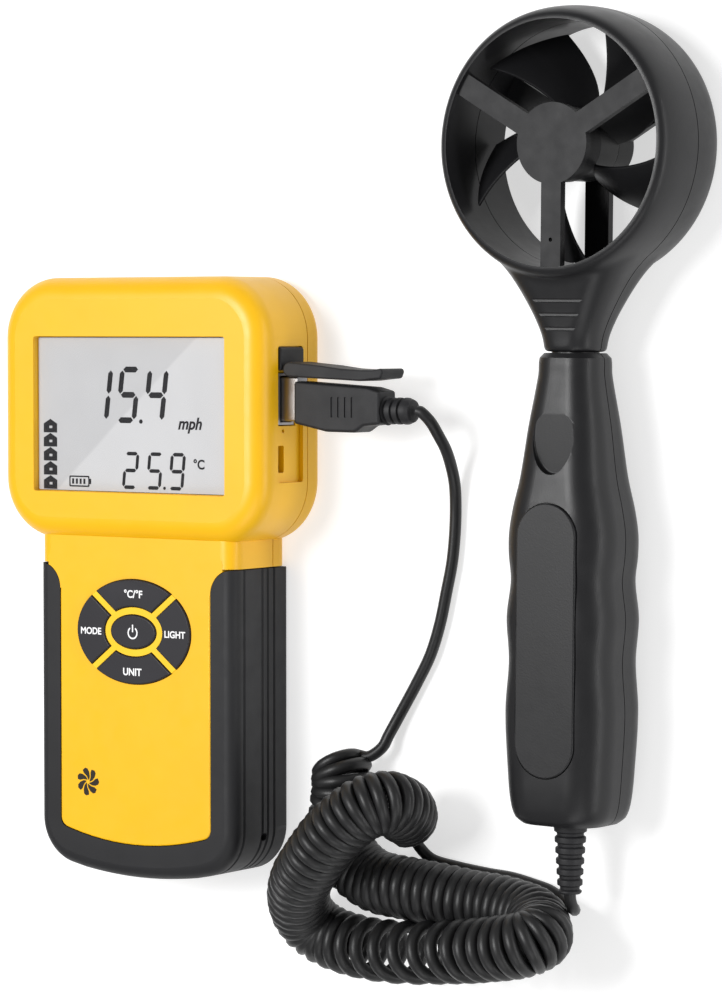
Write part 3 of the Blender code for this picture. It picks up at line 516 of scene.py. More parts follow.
# ---- meter ----
HEAD_HALF = 46.2
HEAD_LOW = 9.6
HEAD_TOP = 82.5
HEAD_DEPTH = 28.4
HEAD_CORNER = 17.0
HEAD_RIM = 6.0
BODY_HALF = 34.4
BODY_END = -84.4
BODY_DEPTH = 25.5
BODY_ARC = 4.5
BOOT_TOP = 2.5
COLLAR_LOW = 2.8
CORE_HALF = 31.3
CORE_END = -79.4
CORE_BACK = 1.9
CORE_FRONT = 22.4
PANEL_HALF = 26.4
PANEL_END = -75.0
PANEL_ARC = 4.0
PANEL_CORNER = 3.0
WALL = 2.4
SEAM = 7.5
DISPLAY = (-33.4, 23.0, 33.4, 66.0)
WINDOW_TOP = HEAD_DEPTH - 0.6
WINDOW_SEAT = 26.2
GLASS_TOP = 26.4
PAD_CENTRE = (0.0, -15.6)
PAD_HALF = (19.8, 14.5)
RING_HALF = (10.2, 7.0)
POWER_HALF = (7.9, 4.7)
SHOULDER = 7.0
SHOULDER_HALF = 30.6
SPOKE = 2.2
KEY_TOP = BODY_DEPTH + 0.7
KEY_LOW = 22.9
KEY_GAP = 0.2
# name, legend, the legend's size and centre, from the right key round to the lower one
KEYS = [
    ("light", "LIGHT", 2.6, (14.7, -15.8)), ("temperature", "°C/°F", 2.9, (0.2, -5.2)),
    ("mode", "MODE", 2.6, (-14.8, -16.0)), ("unit", "UNIT", 2.8, (-0.2, -26.8)),
]
POCKET_FLOOR = 45.0
POCKET = (26.5, 9.5, 63.6, 21.0)
LATCH_SLOT = (29.2, 16.8, 36.6, 19.4)
PORT_Y = 49.2
PORT_Z = 15.4
HINGE = (49.3, 57.3)
HINGE_RADIUS = 2.0
COVER = (9.9, 20.6)
CASE_SCREWS = [(-38.0, 73.0, 0.8), (38.0, 73.0, 0.8), (-23.5, -68.5, 2.3), (23.5, -68.5, 2.3)]
DOOR_HALF = 15.0
DOOR_END = -79.2
DOOR_TOP = -20.3
DOOR_SILL = -74.6
BADGE_CENTRE = (-16.6, -58.4)
# height above the table and depth of the boot's side: its rims and the grooves that run along it
BOOT_SIDE = [(0.0, 1.5), (0.25, 0.85), (0.75, 0.3), (1.5, 0.0)]
BOOT_GROOVES = [(6.9, 0.35), (9.8, 0.35), (12.3, 0.35), (20.6, 0.45)]
BOOT_RIM = 3.4


def grip_outline(half, end, top, arc, corner, steps=14, arch_steps=12):
    """Straight sides, rounded corners and an arched bottom end."""
    flat = 1 - 1.15 * corner / half
    shares = [flat - 2 * flat * k / arch_steps for k in range(arch_steps + 1)]
    arched = [(share * half, end + arc * share**2, 0.0) for share in shares]
    right = [(half, top, 0.0), (half, end + arc, corner)]
    return rounded([*right, *arched, *((-x, y, radius) for x, y, radius in reversed(right))], steps)


def shoulder_outline(steps=16):
    """The top of the panel, which widens to the collar in two arcs."""
    centre_x, centre_y = PANEL_HALF + SHOULDER, BOOT_TOP + 0.15 - SHOULDER
    last = math.acos((centre_x - SHOULDER_HALF) / SHOULDER)
    turns = [last * k / steps for k in range(steps + 1)]
    right = [Vector((centre_x - SHOULDER * math.cos(t), centre_y + SHOULDER * math.sin(t))) for t in turns]
    right += [Vector((SHOULDER_HALF, BOOT_TOP + 2)), Vector((SHOULDER_HALF - 5, HEAD_LOW + 4))]
    return [*right, *(Vector((-point.x, point.y)) for point in reversed(right))]


def key_outline(side, grow, steps=22):
    """One curved key, between two ellipses and two of the panel's bars; side 0 is the right key."""
    bar = SPOKE / 2 - grow
    outer = (PAD_HALF[0] + grow, PAD_HALF[1] + grow)
    inner = (RING_HALF[0] - grow, RING_HALF[1] - grow)
    outline = []
    for halves, back in ((outer, False), (inner, True)):
        spare = bar / (sum(halves) / 2)
        start = math.radians(90 * side - 45) + spare
        turns = [start + (math.pi / 2 - 2 * spare) * k / steps for k in range(steps + 1)]
        outline += [on_ellipse(halves, t, PAD_CENTRE) for t in (reversed(turns) if back else turns)]
    return outline


def power_outline(grow):
    return ellipse(PAD_CENTRE, (POWER_HALF[0] + grow, POWER_HALF[1] + grow))


def key_holes():
    outlines = [power_outline(KEY_GAP), *(key_outline(side, KEY_GAP) for side in range(4))]
    return [slab(outline, 20, REACH) for outline in outlines]


def about_port(left, right, half_y, half_z, corner=0.0, steps=5):
    """A block centred on the port's axis."""
    low = (left, PORT_Y - half_y, PORT_Z - half_z)
    return block(low, (right, PORT_Y + half_y, PORT_Z + half_z), corner, axis=0, steps=steps)


def case_solids():
    """The whole case before it is split: its head, what joins it and the hollows."""
    head = block(
        (-HEAD_HALF, HEAD_LOW, 0), (HEAD_HALF, HEAD_TOP, HEAD_DEPTH), HEAD_CORNER,
        top=HEAD_RIM, bottom=4.0, steps=20, rim_steps=10,
    )
    inside = HEAD_LOW + 8
    joins = [
        block((-BODY_HALF, COLLAR_LOW, 0), (BODY_HALF, inside, BODY_DEPTH), 4.5, axis=1, steps=9),
        slab(grip_outline(CORE_HALF, CORE_END, inside, BODY_ARC, 10), CORE_BACK, CORE_FRONT),
        slab(
            grip_outline(PANEL_HALF, PANEL_END, inside, PANEL_ARC, PANEL_CORNER),
            CORE_FRONT - 4, BODY_DEPTH, top=0.5,
        ),
        slab(shoulder_outline(), CORE_FRONT - 1, BODY_DEPTH),
    ]
    hollows = [
        block(
            (WALL - HEAD_HALF, HEAD_LOW + WALL, WALL), (HEAD_HALF - WALL, HEAD_TOP - WALL, HEAD_DEPTH - 3),
            HEAD_CORNER - WALL, steps=4,
        ),
        slab(
            grip_outline(CORE_HALF - WALL, CORE_END + WALL, inside + 4, BODY_ARC, 8, 4, 6),
            CORE_BACK + 2.2, CORE_FRONT - 2,
        ),
    ]
    return head, joins, hollows


def add_front_case():
    low_y, _, high_y, high_z = POCKET
    backing = block((POCKET_FLOOR - WALL, low_y - 2, SEAM + 0.2), (HEAD_HALF - 1, high_y + 2, high_z + 2))
    openings = [*front_openings(), below(SEAM + 0.05)]
    bm = cut_in_turn(*case_solids(), [backing], openings)
    piece("case_front", bm, "yellow_plastic", ["front_case"], sharp=30)


def add_rear_case():
    half = DOOR_HALF + 0.3
    openings = [
        block((-half, DOOR_SILL - 1.0, -5), (half, DOOR_TOP + 0.3, CORE_BACK + 2.4)),
        block((-half, -REACH, -5), (half, DOOR_SILL, 2.6)),
    ]
    posts = []
    for x, y, seat in CASE_SCREWS:
        posts.append(rod(3.5, 2.5, SEAM - 0.3, (x, y), 32))
        openings += [rod(1.6, -1, SEAM + 1, (x, y), 24), rod(2.6, -1, seat + 2.1, (x, y), 32)]
    bm = cut_in_turn(*case_solids(), posts, [*openings, above(SEAM - 0.25)])
    piece("case_rear", bm, "yellow_plastic", ["rear_case"], sharp=30)


def front_openings():
    """The port's pocket with what is sunk in it, the display's window and the keys' holes."""
    left, low, right, high = DISPLAY
    low_y, low_z, high_y, high_z = POCKET
    behind, before = POCKET_FLOOR - 5, POCKET_FLOOR + 1
    return [
        block((POCKET_FLOOR, low_y, low_z), (HEAD_HALF + 5, high_y, high_z), 0.9, axis=0, steps=5),
        about_port(behind, before, 7.3, 3.9),
        block((behind, *LATCH_SLOT[:2]), (before, *LATCH_SLOT[2:]), 0.5, axis=0, steps=4),
        moved(turn(rod(0.5, -2, 2, sides=20), math.pi / 2, "Y"), POCKET_FLOOR, 40.5, 17.1),
        block((left - 0.15, low - 0.15, WINDOW_SEAT), (right + 0.15, high + 0.15, REACH), 0.8, steps=5),
        block((left, low, WINDOW_SEAT - 5), (right, high, REACH), 0.6, steps=4),
        *key_holes(),
    ]


def cut_in_turn(bm, *rounds):
    """Joins and cuts shapes in turn: the rounds are joins, cuts, joins, cuts."""
    for number, shapes in enumerate(rounds):
        bm = shaped(bm, joins=shapes) if number % 2 == 0 else shaped(bm, cuts=shapes)
    return bm


def add_boot():
    profile = list(BOOT_SIDE)
    groove = ((-0.55, 0.0), (-0.3, 0.6), (0.0, 1.0), (0.3, 0.6), (0.55, 0.0))
    for height, depth in BOOT_GROOVES:
        profile += [(height + rise, depth * share) for rise, share in groove]
    for t in (math.radians(90 * k / 8) for k in range(9)):
        profile.append((BODY_DEPTH - BOOT_RIM * (1 - math.sin(t)), BOOT_RIM * (1 - math.cos(t))))
    bm = bmesh.new()
    rings = []
    for height, inset in profile:
        outline = grip_outline(BODY_HALF - inset, BODY_END + inset, BOOT_TOP, BODY_ARC, 13 - inset)
        rings.append([bm.verts.new((point.x, point.y, height)) for point in outline])
    bm = skin(bm, rings)
    half = PANEL_HALF + 0.12
    lower = grip_outline(half, PANEL_END - 0.12, BOOT_TOP, PANEL_ARC, PANEL_CORNER)
    flare = [(REACH, 20, 0), (REACH, BOOT_TOP, 0), (half, BOOT_TOP, 7)]
    window = [*flare, *((point.x, point.y, 0) for point in lower[1:-1])]
    window = rounded([*window, *((-x, y, radius) for x, y, radius in reversed(flare))], 12)
    core = grip_outline(CORE_HALF + 0.1, CORE_END - 0.1, 20, BODY_ARC, 10.1, 10)
    core = slab(core, CORE_BACK - 0.2, CORE_FRONT + 0.2)
    hole = moved(turn(rod(1.1, -3, 3, sides=28), math.pi / 2, "Y"), BODY_HALF, -71.6, 11.2)
    lid_way = block((-16, -REACH, -5), (16, -17, 2.8), 3.0, steps=8)
    bm = shaped(bm, cuts=[core, slab(window, CORE_FRONT - 1, REACH), lid_way, hole])
    piece("boot", bm, "rubber", ["grip_boot"], sharp=38)


def add_keys():
    ring = slab(ellipse(PAD_CENTRE, PAD_HALF, 120), BODY_DEPTH - 0.3, BODY_DEPTH + 0.22)
    bright = moulded("bright_yellow", (0.90, 0.55, 0.01), 0.36, mottle=0.02, depth=0.00002)
    piece("key_frame", shaped(ring, cuts=key_holes(), edge=0.08), "yellow_plastic", finish=bright)
    white_ink = ink("white_ink", (0.82, 0.82, 0.83))
    for side, (name, text, size, place) in enumerate(KEYS):
        key = slab(key_outline(side, 0.0), KEY_LOW, KEY_TOP, top=0.35, rim_steps=4)
        piece(name + "_key_cap", key, "key_plastic", [name + "_button"], body=name + "_key")
        legend = lettering(text, size, place, KEY_TOP - 0.02, 0.05)
        piece(name + "_legend", legend, "key_plastic", body=name + "_key", finish=white_ink)
    power = slab(power_outline(0.0), KEY_LOW, KEY_TOP, top=0.45, rim_steps=5)
    piece("power_key_cap", power, "key_plastic", ["power_button"], body="power_key")
    x, y = 0.0, PAD_CENTRE[1] - 0.25
    low, high = KEY_TOP - 0.02, KEY_TOP + 0.03
    sign = arc_strip((x, y), 1.55, 0.42, math.radians(125), math.radians(415), low, high)
    stem = block((x - 0.21, y + 0.2, low), (x + 0.21, y + 2.3, high))
    piece("power_sign", merged(sign, stem), "key_plastic", body="power_key", finish=white_ink)


def lettering(text, size, centre, low, thick, slant=0.0):
    """Raised letters, centred on a place."""
    curve = bpy.data.curves.new("letters", "FONT")
    curve.body = text
    curve.size = size
    curve.align_x, curve.align_y = "CENTER", "CENTER"
    curve.shear = slant
    curve.extrude = thick / 2
    curve.offset = size * 0.025
    item = bpy.data.objects.new("letters", curve)
    bpy.context.scene.collection.objects.link(item)
    bpy.context.view_layer.update()
    mesh = bpy.data.meshes.new_from_object(item.evaluated_get(bpy.context.evaluated_depsgraph_get()))
    bpy.data.objects.remove(item)
    bpy.data.curves.remove(curve)
    bm = bmesh.new()
    bm.from_mesh(mesh)
    bpy.data.meshes.remove(mesh)
    return moved(bm, *centre, low + thick / 2)


def arc_strip(centre, radius, width, start, end, low, high, steps=40):
    """A flat strip along an arc."""
    inner, outer = [], []
    for k in range(steps + 1):
        t = start + (end - start) * k / steps
        for line, r in ((inner, radius - width / 2), (outer, radius + width / 2)):
            line.append(on_ellipse((r, r), t, centre))
    return slab(outer + inner[::-1], low, high)


# the seven strokes of a digit, and the strokes that each digit lights
STROKES = {
    "a": ((0, 2), (1, 2)), "b": ((1, 2), (1, 1)), "c": ((1, 1), (1, 0)), "d": ((0, 0), (1, 0)),
    "e": ((0, 1), (0, 0)), "f": ((0, 2), (0, 1)), "g": ((0, 1), (1, 1)),
}
LIT = {"1": "bc", "2": "abged", "4": "fgbc", "5": "afgcd", "9": "abcdfg"}
# digits, their left edges and foot, width, height, stroke and slant
FIGURES = [
    ("154", (-14.7, -4.9, 4.8), 43.0, 5.7, 14.0, 1.6, 0.13),
    ("259", (-2.9, 5.5, 13.3), 24.5, 4.2, 9.3, 1.0, 0.10),
]
MARKS = (GLASS_TOP - 0.02, GLASS_TOP + 0.06)  # how the display's marks lie on its glass


def digit(char, left, low, width, height, stroke, slant):
    """A seven-stroke digit, each stroke a slim hexagon, leaning to the right."""
    shapes = []
    for name in LIT[char]:
        (x0, y0), (x1, y1) = STROKES[name]
        one = Vector((x0 * width, y0 * height / 2))
        two = Vector((x1 * width, y1 * height / 2))
        along = (two - one).normalized()
        across = Vector((-along.y, along.x)) * stroke / 2
        gap = along * stroke * 0.18
        one, two = one + gap, two - gap
        tip = along * stroke / 2
        ring = [one, one + tip + across, two - tip + across, two, two - tip - across, one + tip - across]
        shapes.append(slab([(left + p.x + p.y * slant, low + p.y) for p in ring], *MARKS))
    return shapes


def add_display():
    left, low, right, high = DISPLAY
    corners = (left, low, WINDOW_TOP - 1.3), (right, high, WINDOW_TOP)
    window = block(*corners, 0.7, top=0.25, steps=5, rim_steps=3)
    piece("display_lens", window, "clear_plastic", ["lcd_window"])
    glass = block((left + 0.2, low + 0.2, 23.3), (right - 0.2, high - 0.2, GLASS_TOP), 0.4, steps=3)
    piece("display_panel", glass, "display_glass", ["lcd_glass"])
    marks = []
    for figures, lefts, *form in FIGURES:
        for char, left in zip(figures, lefts):
            marks += digit(char, left, *form)
    under, over = MARKS
    marks += [rod(0.6, under, over, (3.3, 42.7), 20), rod(0.45, under, over, (11.5, 24.5), 20)]
    for k in range(5):
        base = 23.4 + 3.95 * k
        box = [(-31.4, base), (-26.6, base), (-26.6, base + 2.5), (-29.0, base + 3.8), (-31.4, base + 2.5)]
        bar = slab(box, under, over)
        marks.append(shaped(bar, cuts=[block((-29.4, base + 1.2, 20), (-28.3, base + 1.9, 30))]))
    shell = block((-22.2, 24.2, under), (-15.0, 27.3, over), 0.4, steps=3)
    marks.append(shaped(shell, cuts=[block((-21.8, 24.6, 20), (-15.4, 26.9, 30), 0.3, steps=3)]))
    for left, width in [*((-21.2 + 1.35 * k, 0.7) for k in range(4)), (-15.0, 0.6)]:
        marks.append(block((left, 25.0, under), (left + width, 26.5, over)))
    for text, size, place, slant in (("mph", 4.6, (20.2, 42.2), 0.25), ("°C", 3.6, (23.4, 31.1), 0.0)):
        marks.append(lettering(text, size, place, under, over - under, slant))
    dark_ink = ink("lcd_ink", (0.008, 0.008, 0.01))
    piece("display_marks", merged(*marks), "display_glass", finish=dark_ink)


def add_badge():
    """The small printed rotor sign on the panel."""
    count, reach, twist = 7, 4.0, 0.9
    front, back = [], []
    for share, width in ((0.15, 0.4), (0.4, 1.5), (0.7, 2.3), (0.92, 1.8), (1.0, 0.2)):
        radius, angle = reach * share, twist * share
        front.append(on_ellipse((radius, radius), angle + width / (radius + 1)))
        back.append(on_ellipse((radius, radius), angle - 0.1))
    petals = []
    for k in range(count):
        petal = slab([*front, *back[-2::-1]], BODY_DEPTH - 0.02, BODY_DEPTH + 0.04)
        petals.append(moved(turn(petal, math.tau * k / count, "Z"), *BADGE_CENTRE, 0))
    black_ink = ink("black_ink", (0.03, 0.025, 0.02))
    piece("rotor_sign", merged(*petals), "yellow_plastic", finish=black_ink)


def add_back():
    low, high = (-DOOR_HALF, DOOR_END, 0.3), (DOOR_HALF, DOOR_TOP, 2.3)
    door = block(low, high, 1.5, bottom=0.4, steps=6, rim_steps=3)
    ridges = []
    for y in (-30.0, -27.6, -25.2):
        ridges.append(block((-7, y - 0.45, 0.02), (7, y + 0.45, 1.0), 0.4, axis=0, steps=4))
    arrow = slab([(-3, -33.6), (3, -33.6), (0, -38.2)], -1, 0.7)
    door = shaped(door, joins=ridges, cuts=[arrow])
    piece("door", door, "yellow_plastic", ["battery_door"], body="battery_lid")
    for number, (x, y, seat) in enumerate(CASE_SCREWS, 1):
        add_screw(f"case_screw_{number}", seat, 14.0, (x, y))
    for number, y in enumerate(HANDLE_SCREWS, 1):
        add_screw(f"handle_screw_{number}", 1.4, 15.0, (0, y), PROBE)


def add_screw(node, seat, length, at, place=None):
    """A pan-head screw seen from the back, with a cross recess."""
    x, y = at
    cross = []
    for half_x, half_y in ((1.3, 0.26), (0.26, 1.3)):
        cross.append(block((x - half_x, y - half_y, seat - 1), (x + half_x, y + half_y, seat + 0.9)))
    shank = rod(1.25, seat + 1.5, seat + length, at, 24)
    bm = shaped(rod(2.3, seat, seat + 1.8, at, 40), joins=[shank], cuts=cross, edge=0.2, edge_steps=3)
    piece(node + "_fine", bm, "steel", [node], place=place)


def add_cover():
    low, high = COVER
    root = block((45.1, 57.0, low), (46.9, 63.3, high), 0.8, steps=6, top=0.5, bottom=0.5, rim_steps=4)
    piece("cover_foot", root, "rubber", ["cover_root"])
    angles = [math.radians(270 - 30 * k) for k in range(7)]
    barrel = [on_ellipse((HINGE_RADIUS, HINGE_RADIUS), angle, HINGE) for angle in angles]
    outline = rounded([
        (60.0, 58.4, 8), (66.5, 57.6, 6), (73.0, 57.3, 3), (76.5, 57.3, 3), (80.5, 57.9, 0.9),
        (79.4, 55.0, 1.1), (76.0, 54.7, 3), (72.5, 54.3, 3), (66.0, 54.6, 4), (58.0, 54.9, 6),
        *((point.x, point.y, 0) for point in barrel),
    ], 8)
    flap = slab(outline, low, high, top=0.5, bottom=0.5)
    piece("flap", flap, "rubber", ["port_cover"], body="port_flap")


def add_plug():
    shell = about_port(34.0, 50.2, 6, 2.25, 0.5)
    cuts = [about_port(33.0, 49.0, 5.6, 1.85, 0.3, steps=3)]
    for y in (PORT_Y - 2.9, PORT_Y + 2.9):
        cuts.append(block((39.0, y - 1.2, -5), (41.4, y + 1.2, 40), 0.2, steps=2))
    piece("plug_shell", shaped(shell, cuts=cuts), "steel", ["usb_plug_shell"])
    outline = rounded([
        (50.2, 54.1, 0.8), (50.2, 42.7, 0.8), (60.7, 40.6, 8), (70.2, 40.5, 2.5), (73.0, 42.3, 2.5),
        (78.2, 42.8, 0.8), (78.2, 51.6, 0.8), (74.0, 52.7, 4),
    ], 6)
    body = slab(outline, PORT_Z - 4.1, PORT_Z + 4.1)
    body = worked(body, ("BEVEL", {
        "width": 1.1, "segments": 5, "limit_method": "ANGLE", "angle_limit": math.radians(60),
        "use_clamp_overlap": True,
    }))
    grips = []
    for k in range(4):
        x = 62.5 + 2.2 * k
        grips.append(block((x, 44.5, PORT_Z + 3.75), (x + 0.9, 50.0, PORT_Z + 5), 0.2, steps=2))
    body = shaped(body, cuts=grips)
    piece("plug_body", body, "black_plastic", ["usb_plug_body"], sharp=34, finish=rubber())
    profile = [(0, 8.3), (2.2, 8.3), (3.0, 8.1), (3.3, 7.4)]
    for k in range(3):
        base = 6.6 - 2.3 * k
        profile += [(3.6, base), (3.6, base - 0.9), (2.9, base - 1.15)]
        profile += [(2.9, base - 1.65), (3.5, base - 1.9)]
    profile += [(3.9, 0.0), (0, 0)]
    relief = moved(turn(turned(profile, 40), math.pi / 2, "Y"), 78.5, 46.4, PORT_Z)
    piece("plug_relief", relief, "rubber", ["usb_plug_relief"])


# ---- probe ----
VANE_Y = 115.4
VANE_DEPTH = 28.0
MIDDLE = 14.0
BORE = 31.5
LIP = 32.6
CROWN = 35.6
# sections across the probe, from the vane downwards: y, half width, half depth and corner radius
NECK = [
    (104.0, 29.5, 13.4, 8.0), (96.0, 28.2, 13.2, 8.0), (89.7, 23.8, 12.8, 8.0), (82.4, 16.9, 11.2, 7.6),
    (73.4, 11.3, 9.1, 6.8), (66.4, 8.2, 8.0, 6.5), (62.3, 7.6, 7.6, 6.5),
]
HANDLE = [
    (62.0, 7.4, 7.4, 5.6), (60.8, 8.6, 8.4, 6.6), (56.3, 8.8, 8.7, 6.6), (43.0, 11.0, 10.4, 7.6),
    (29.9, 12.8, 12.0, 8.6), (22.0, 14.6, 12.9, 9.2), (15.7, 15.6, 13.3, 9.5), (10.0, 15.5, 13.5, 9.5),
    (3.3, 14.8, 13.5, 9.5), (-6.3, 15.9, 13.6, 9.5), (-17.4, 15.1, 13.6, 9.5), (-30.4, 16.0, 13.6, 9.5),
    (-45.1, 15.3, 13.4, 9.5), (-54.0, 14.5, 13.0, 9.4), (-58.0, 13.2, 12.2, 8.8), (-59.5, 11.4, 10.8, 7.8),
]
HANDLE_END = -59.5
SPIGOT = (5.8, 5.8, 4.8)
RIBS = [(75.4, 9.6), (71.8, 8.8), (68.2, 8.2)]  # the grooves' y and the neck's half depth there
SEAM_GAP = 0.15
HANDLE_SCREWS = (16.0, -50.0)
PLATE_LOW = 26.4
PLATE_HALF = (8.8, 35.3)
PLATE_Y = -11.6
THUMB_HALF = (6.2, 10.0)
THUMB_Y = 41.0
THUMB_TILT = math.radians(2)


def other_half(front):
    """The block that takes away the other half of a probe shell."""
    return below(MIDDLE + SEAM_GAP) if front else above(MIDDLE - SEAM_GAP)


def add_vane_head():
    crown = []
    for k in range(25):
        height = VANE_DEPTH * (1 - k / 24)
        bulge = math.sqrt(max(0.0, 1 - ((height - MIDDLE) / MIDDLE) ** 2))
        crown.append((LIP + (CROWN - LIP) * bulge, height))
    disc = turned([(0, VANE_DEPTH), *crown, (0, 0)], 128, (0, VANE_Y))
    whole = shaped(disc, joins=[loft(between(NECK, 1.2), MIDDLE, steps=12)])
    whole = worked(
        whole, ("REMESH", {"mode": "VOXEL", "voxel_size": 0.62}),
        ("SMOOTH", {"factor": 0.5, "iterations": 14}),
    )
    inner = between([(79.0, 12.5, 8.5, 6.0), *NECK[4:], (60.3, 7.6, 7.6, 6.5)], 2.0)
    for front in (True, False):
        cuts = [rod(BORE, -5, VANE_DEPTH + 5, (0, VANE_Y), 128), loft(inner, MIDDLE, WALL)]
        for y, half in RIBS if front else ():
            low, high = (-30, y - 0.55, MIDDLE + half - 0.35), (30, y + 0.55, 40)
            cuts.append(block(low, high, 0.3, axis=0, steps=4))
        cuts.append(other_half(front))
        spigot = loft([(66.0, *SPIGOT), (56.6, *SPIGOT)], MIDDLE)
        bm = shaped(whole.copy(), joins=[spigot], cuts=cuts)
        side = "front" if front else "rear"
        piece("vane_head_" + side, bm, "black_plastic", [f"vane_{side}_shell"], place=PROBE, sharp=28)


def add_handle():
    sections = between(HANDLE, 1.0)
    inner = [(66.0, 8.6, 8.4, 6.6), *[s for s in sections if -56 < s[0] < 60.9], (-57.1, 12.2, 11.4, 8.2)]
    stadium = plate_outline(0.22)
    for front in (True, False):
        cuts = [loft(inner, MIDDLE, WALL, steps=5)]
        if front:
            thumb = turn(slab(ellipse((0, 0), THUMB_HALF), 0, 10, bottom=0.5), THUMB_TILT, "X")
            cuts += [slab(stadium, PLATE_LOW - 0.1, 40), moved(thumb, 0, THUMB_Y, 23.8)]
        else:
            cuts += [rod(2.6, -1, 3.5, (0, y), 32) for y in HANDLE_SCREWS]
        cuts.append(moved(turn(rod(2.9, -6, 6), math.pi / 2, "X"), 0, HANDLE_END, MIDDLE))
        cuts.append(other_half(front))
        bm = shaped(loft(sections, MIDDLE, steps=12), cuts=cuts)
        name = "handle_front" if front else "handle_rear"
        piece(name, bm, "black_plastic", [name + "_shell"], place=PROBE, sharp=26)
    plate = slab(plate_outline(0.0), PLATE_LOW, 27.72, top=0.35, rim_steps=3)
    piece("handle_badge", plate, "black_plastic", ["handle_plate"], place=PROBE)


def plate_outline(grow):
    half, end = PLATE_HALF[0] + grow, PLATE_HALF[1] + grow
    corners = [(half, end), (-half, end), (-half, -end), (half, -end)]
    return rounded([(x, PLATE_Y + y, half - 0.01) for x, y in corners], steps=24)


FRONT_HUB = (10.4, 9.7)
FRONT_BARS = (24.6, 26.8)
REAR_HUB = 8.8
REAR_BARS = (2.0, 4.4)
BEARING = 2.7
ROTOR_HUB = 9.3
ROTOR_BACK = 8.5
ROTOR_FRONT = 18.4
BLADES = 5
# radius, front edge's angle and height, back edge's angle and height
BLADE_ROWS = [
    (8.3, 106.0, 17.8, 72.0, 9.4), (11.0, 112.0, 18.1, 76.5, 8.0), (13.7, 117.5, 18.4, 81.4, 7.0),
    (17.1, 123.0, 18.8, 88.0, 6.4), (20.6, 128.0, 19.3, 94.0, 6.0), (24.0, 132.0, 19.8, 99.0, 5.8),
    (27.0, 135.5, 20.2, 103.0, 5.6), (30.2, 139.0, 20.5, 106.5, 5.6),
]


def spokes(width, low, high):
    """Three bars from the hub to the ring, one of them straight down."""
    bars = []
    for k in range(3):
        bar = block((-width / 2, VANE_Y - BORE + 0.05, low), (width / 2, VANE_Y - 4, high))
        bars.append(turn(bar, math.tau * k / 3, "Z", (0, VANE_Y, 0)))
    return bars


def add_spiders():
    centre = (0, VANE_Y)
    rims = {"edge": 0.45, "edge_steps": 3, "edge_angle": 50}
    disc = rod(FRONT_HUB[0], *FRONT_BARS, centre, 96)
    drum = rod(FRONT_HUB[1], ROTOR_FRONT + 0.4, 25.0, centre, 96)
    cuts = [rod(0.55, 20, 30, (0, VANE_Y - 24.5), 20), rod(BEARING, 10, 20.8, centre, 40)]
    front = shaped(disc, joins=[*spokes(5.9, *FRONT_BARS), drum], cuts=cuts, **rims)
    piece("front_bars", front, "grey_plastic", ["front_spider"], place=PROBE)
    drum = rod(REAR_HUB, 0.6, ROTOR_BACK - 0.4, centre, 96)
    rear = shaped(drum, joins=spokes(7.2, *REAR_BARS), cuts=[rod(BEARING, 6, 20, centre, 40)], **rims)
    piece("rear_bars", rear, "grey_plastic", ["rear_spider"], place=PROBE, finish=black())


def blade(number):
    """One swept and twisted blade of even thickness."""
    bm = bmesh.new()
    across = 14
    rows = []
    for radius, front_angle, front_height, back_angle, back_height in BLADE_ROWS:
        row = []
        for j in range(across + 1):
            share = j / across
            belly = math.sin(math.pi * share) * 0.9
            angle = math.radians(back_angle + (front_angle - back_angle) * share)
            angle += math.tau * number / BLADES
            height = back_height + (front_height - back_height) * share + belly
            row.append(bm.verts.new((radius * math.cos(angle), VANE_Y + radius * math.sin(angle), height)))
        rows.append(row)
    for one, other in zip(rows, rows[1:]):
        for j in range(across):
            bm.faces.new((one[j], one[j + 1], other[j + 1], other[j]))
    bmesh.ops.recalc_face_normals(bm, faces=bm.faces)
    return worked(
        bm, ("SUBSURF", {"levels": 1, "render_levels": 1, "boundary_smooth": "PRESERVE_CORNERS"}),
        ("SOLIDIFY", {"thickness": 0.8, "offset": 0.0}),
        ("BEVEL", {"width": 0.22, "segments": 2, "limit_method": "ANGLE", "angle_limit": math.radians(50)}),
    )


def add_rotor():
    centre = (0, VANE_Y)
    hub = turned([
        (0, ROTOR_FRONT), (8.6, ROTOR_FRONT), (9.1, ROTOR_FRONT - 0.2), (ROTOR_HUB, ROTOR_FRONT - 0.7),
        (ROTOR_HUB, ROTOR_BACK + 0.7), (9.1, ROTOR_BACK + 0.2), (8.6, ROTOR_BACK), (0, ROTOR_BACK),
    ], 96, centre)
    wheel = merged(hub, *[blade(number) for number in range(BLADES)])
    piece("rotor_wheel", wheel, "black_plastic", ["rotor"], body="vane_rotor", place=PROBE)
    shaft = rod(1.0, ROTOR_BACK - 3.9, ROTOR_FRONT + 3.9, centre, 32)
    piece("rotor_pin", shaft, "steel", ["rotor_shaft"], body="vane_rotor", place=PROBE)


def add_sleeve():
    profile = [(0, 5.2), (4.2, 5.2), (4.2, 3.2), (2.5, 3.2)]
    profile += [(2.5, -0.1), (4.1, -0.1), (4.35, -0.4), (4.35, -1.5)]
    ribs, length = 6, 16.8
    for k in range(ribs):
        start = -1.5 - length * (k + 0.35) / ribs
        end = -1.5 - length * (k + 1.0) / ribs
        radius = 4.3 - 1.15 * (k + 1) / ribs
        profile += [(radius + 0.15, start + 0.2), (radius - 0.55, start - 0.25)]
        profile += [(radius - 0.6, start - 0.9), (radius - 0.05, start - 1.3), (radius, end + 0.15)]
    profile += [(profile[-1][0] - 0.4, -18.6), (0, -18.6)]
    sleeve = moved(turn(turned(profile, 48), -math.pi / 2, "X"), 0, HANDLE_END, MIDDLE)
    piece("sleeve", sleeve, "rubber", ["cord_sleeve"], place=PROBE, sharp=40)


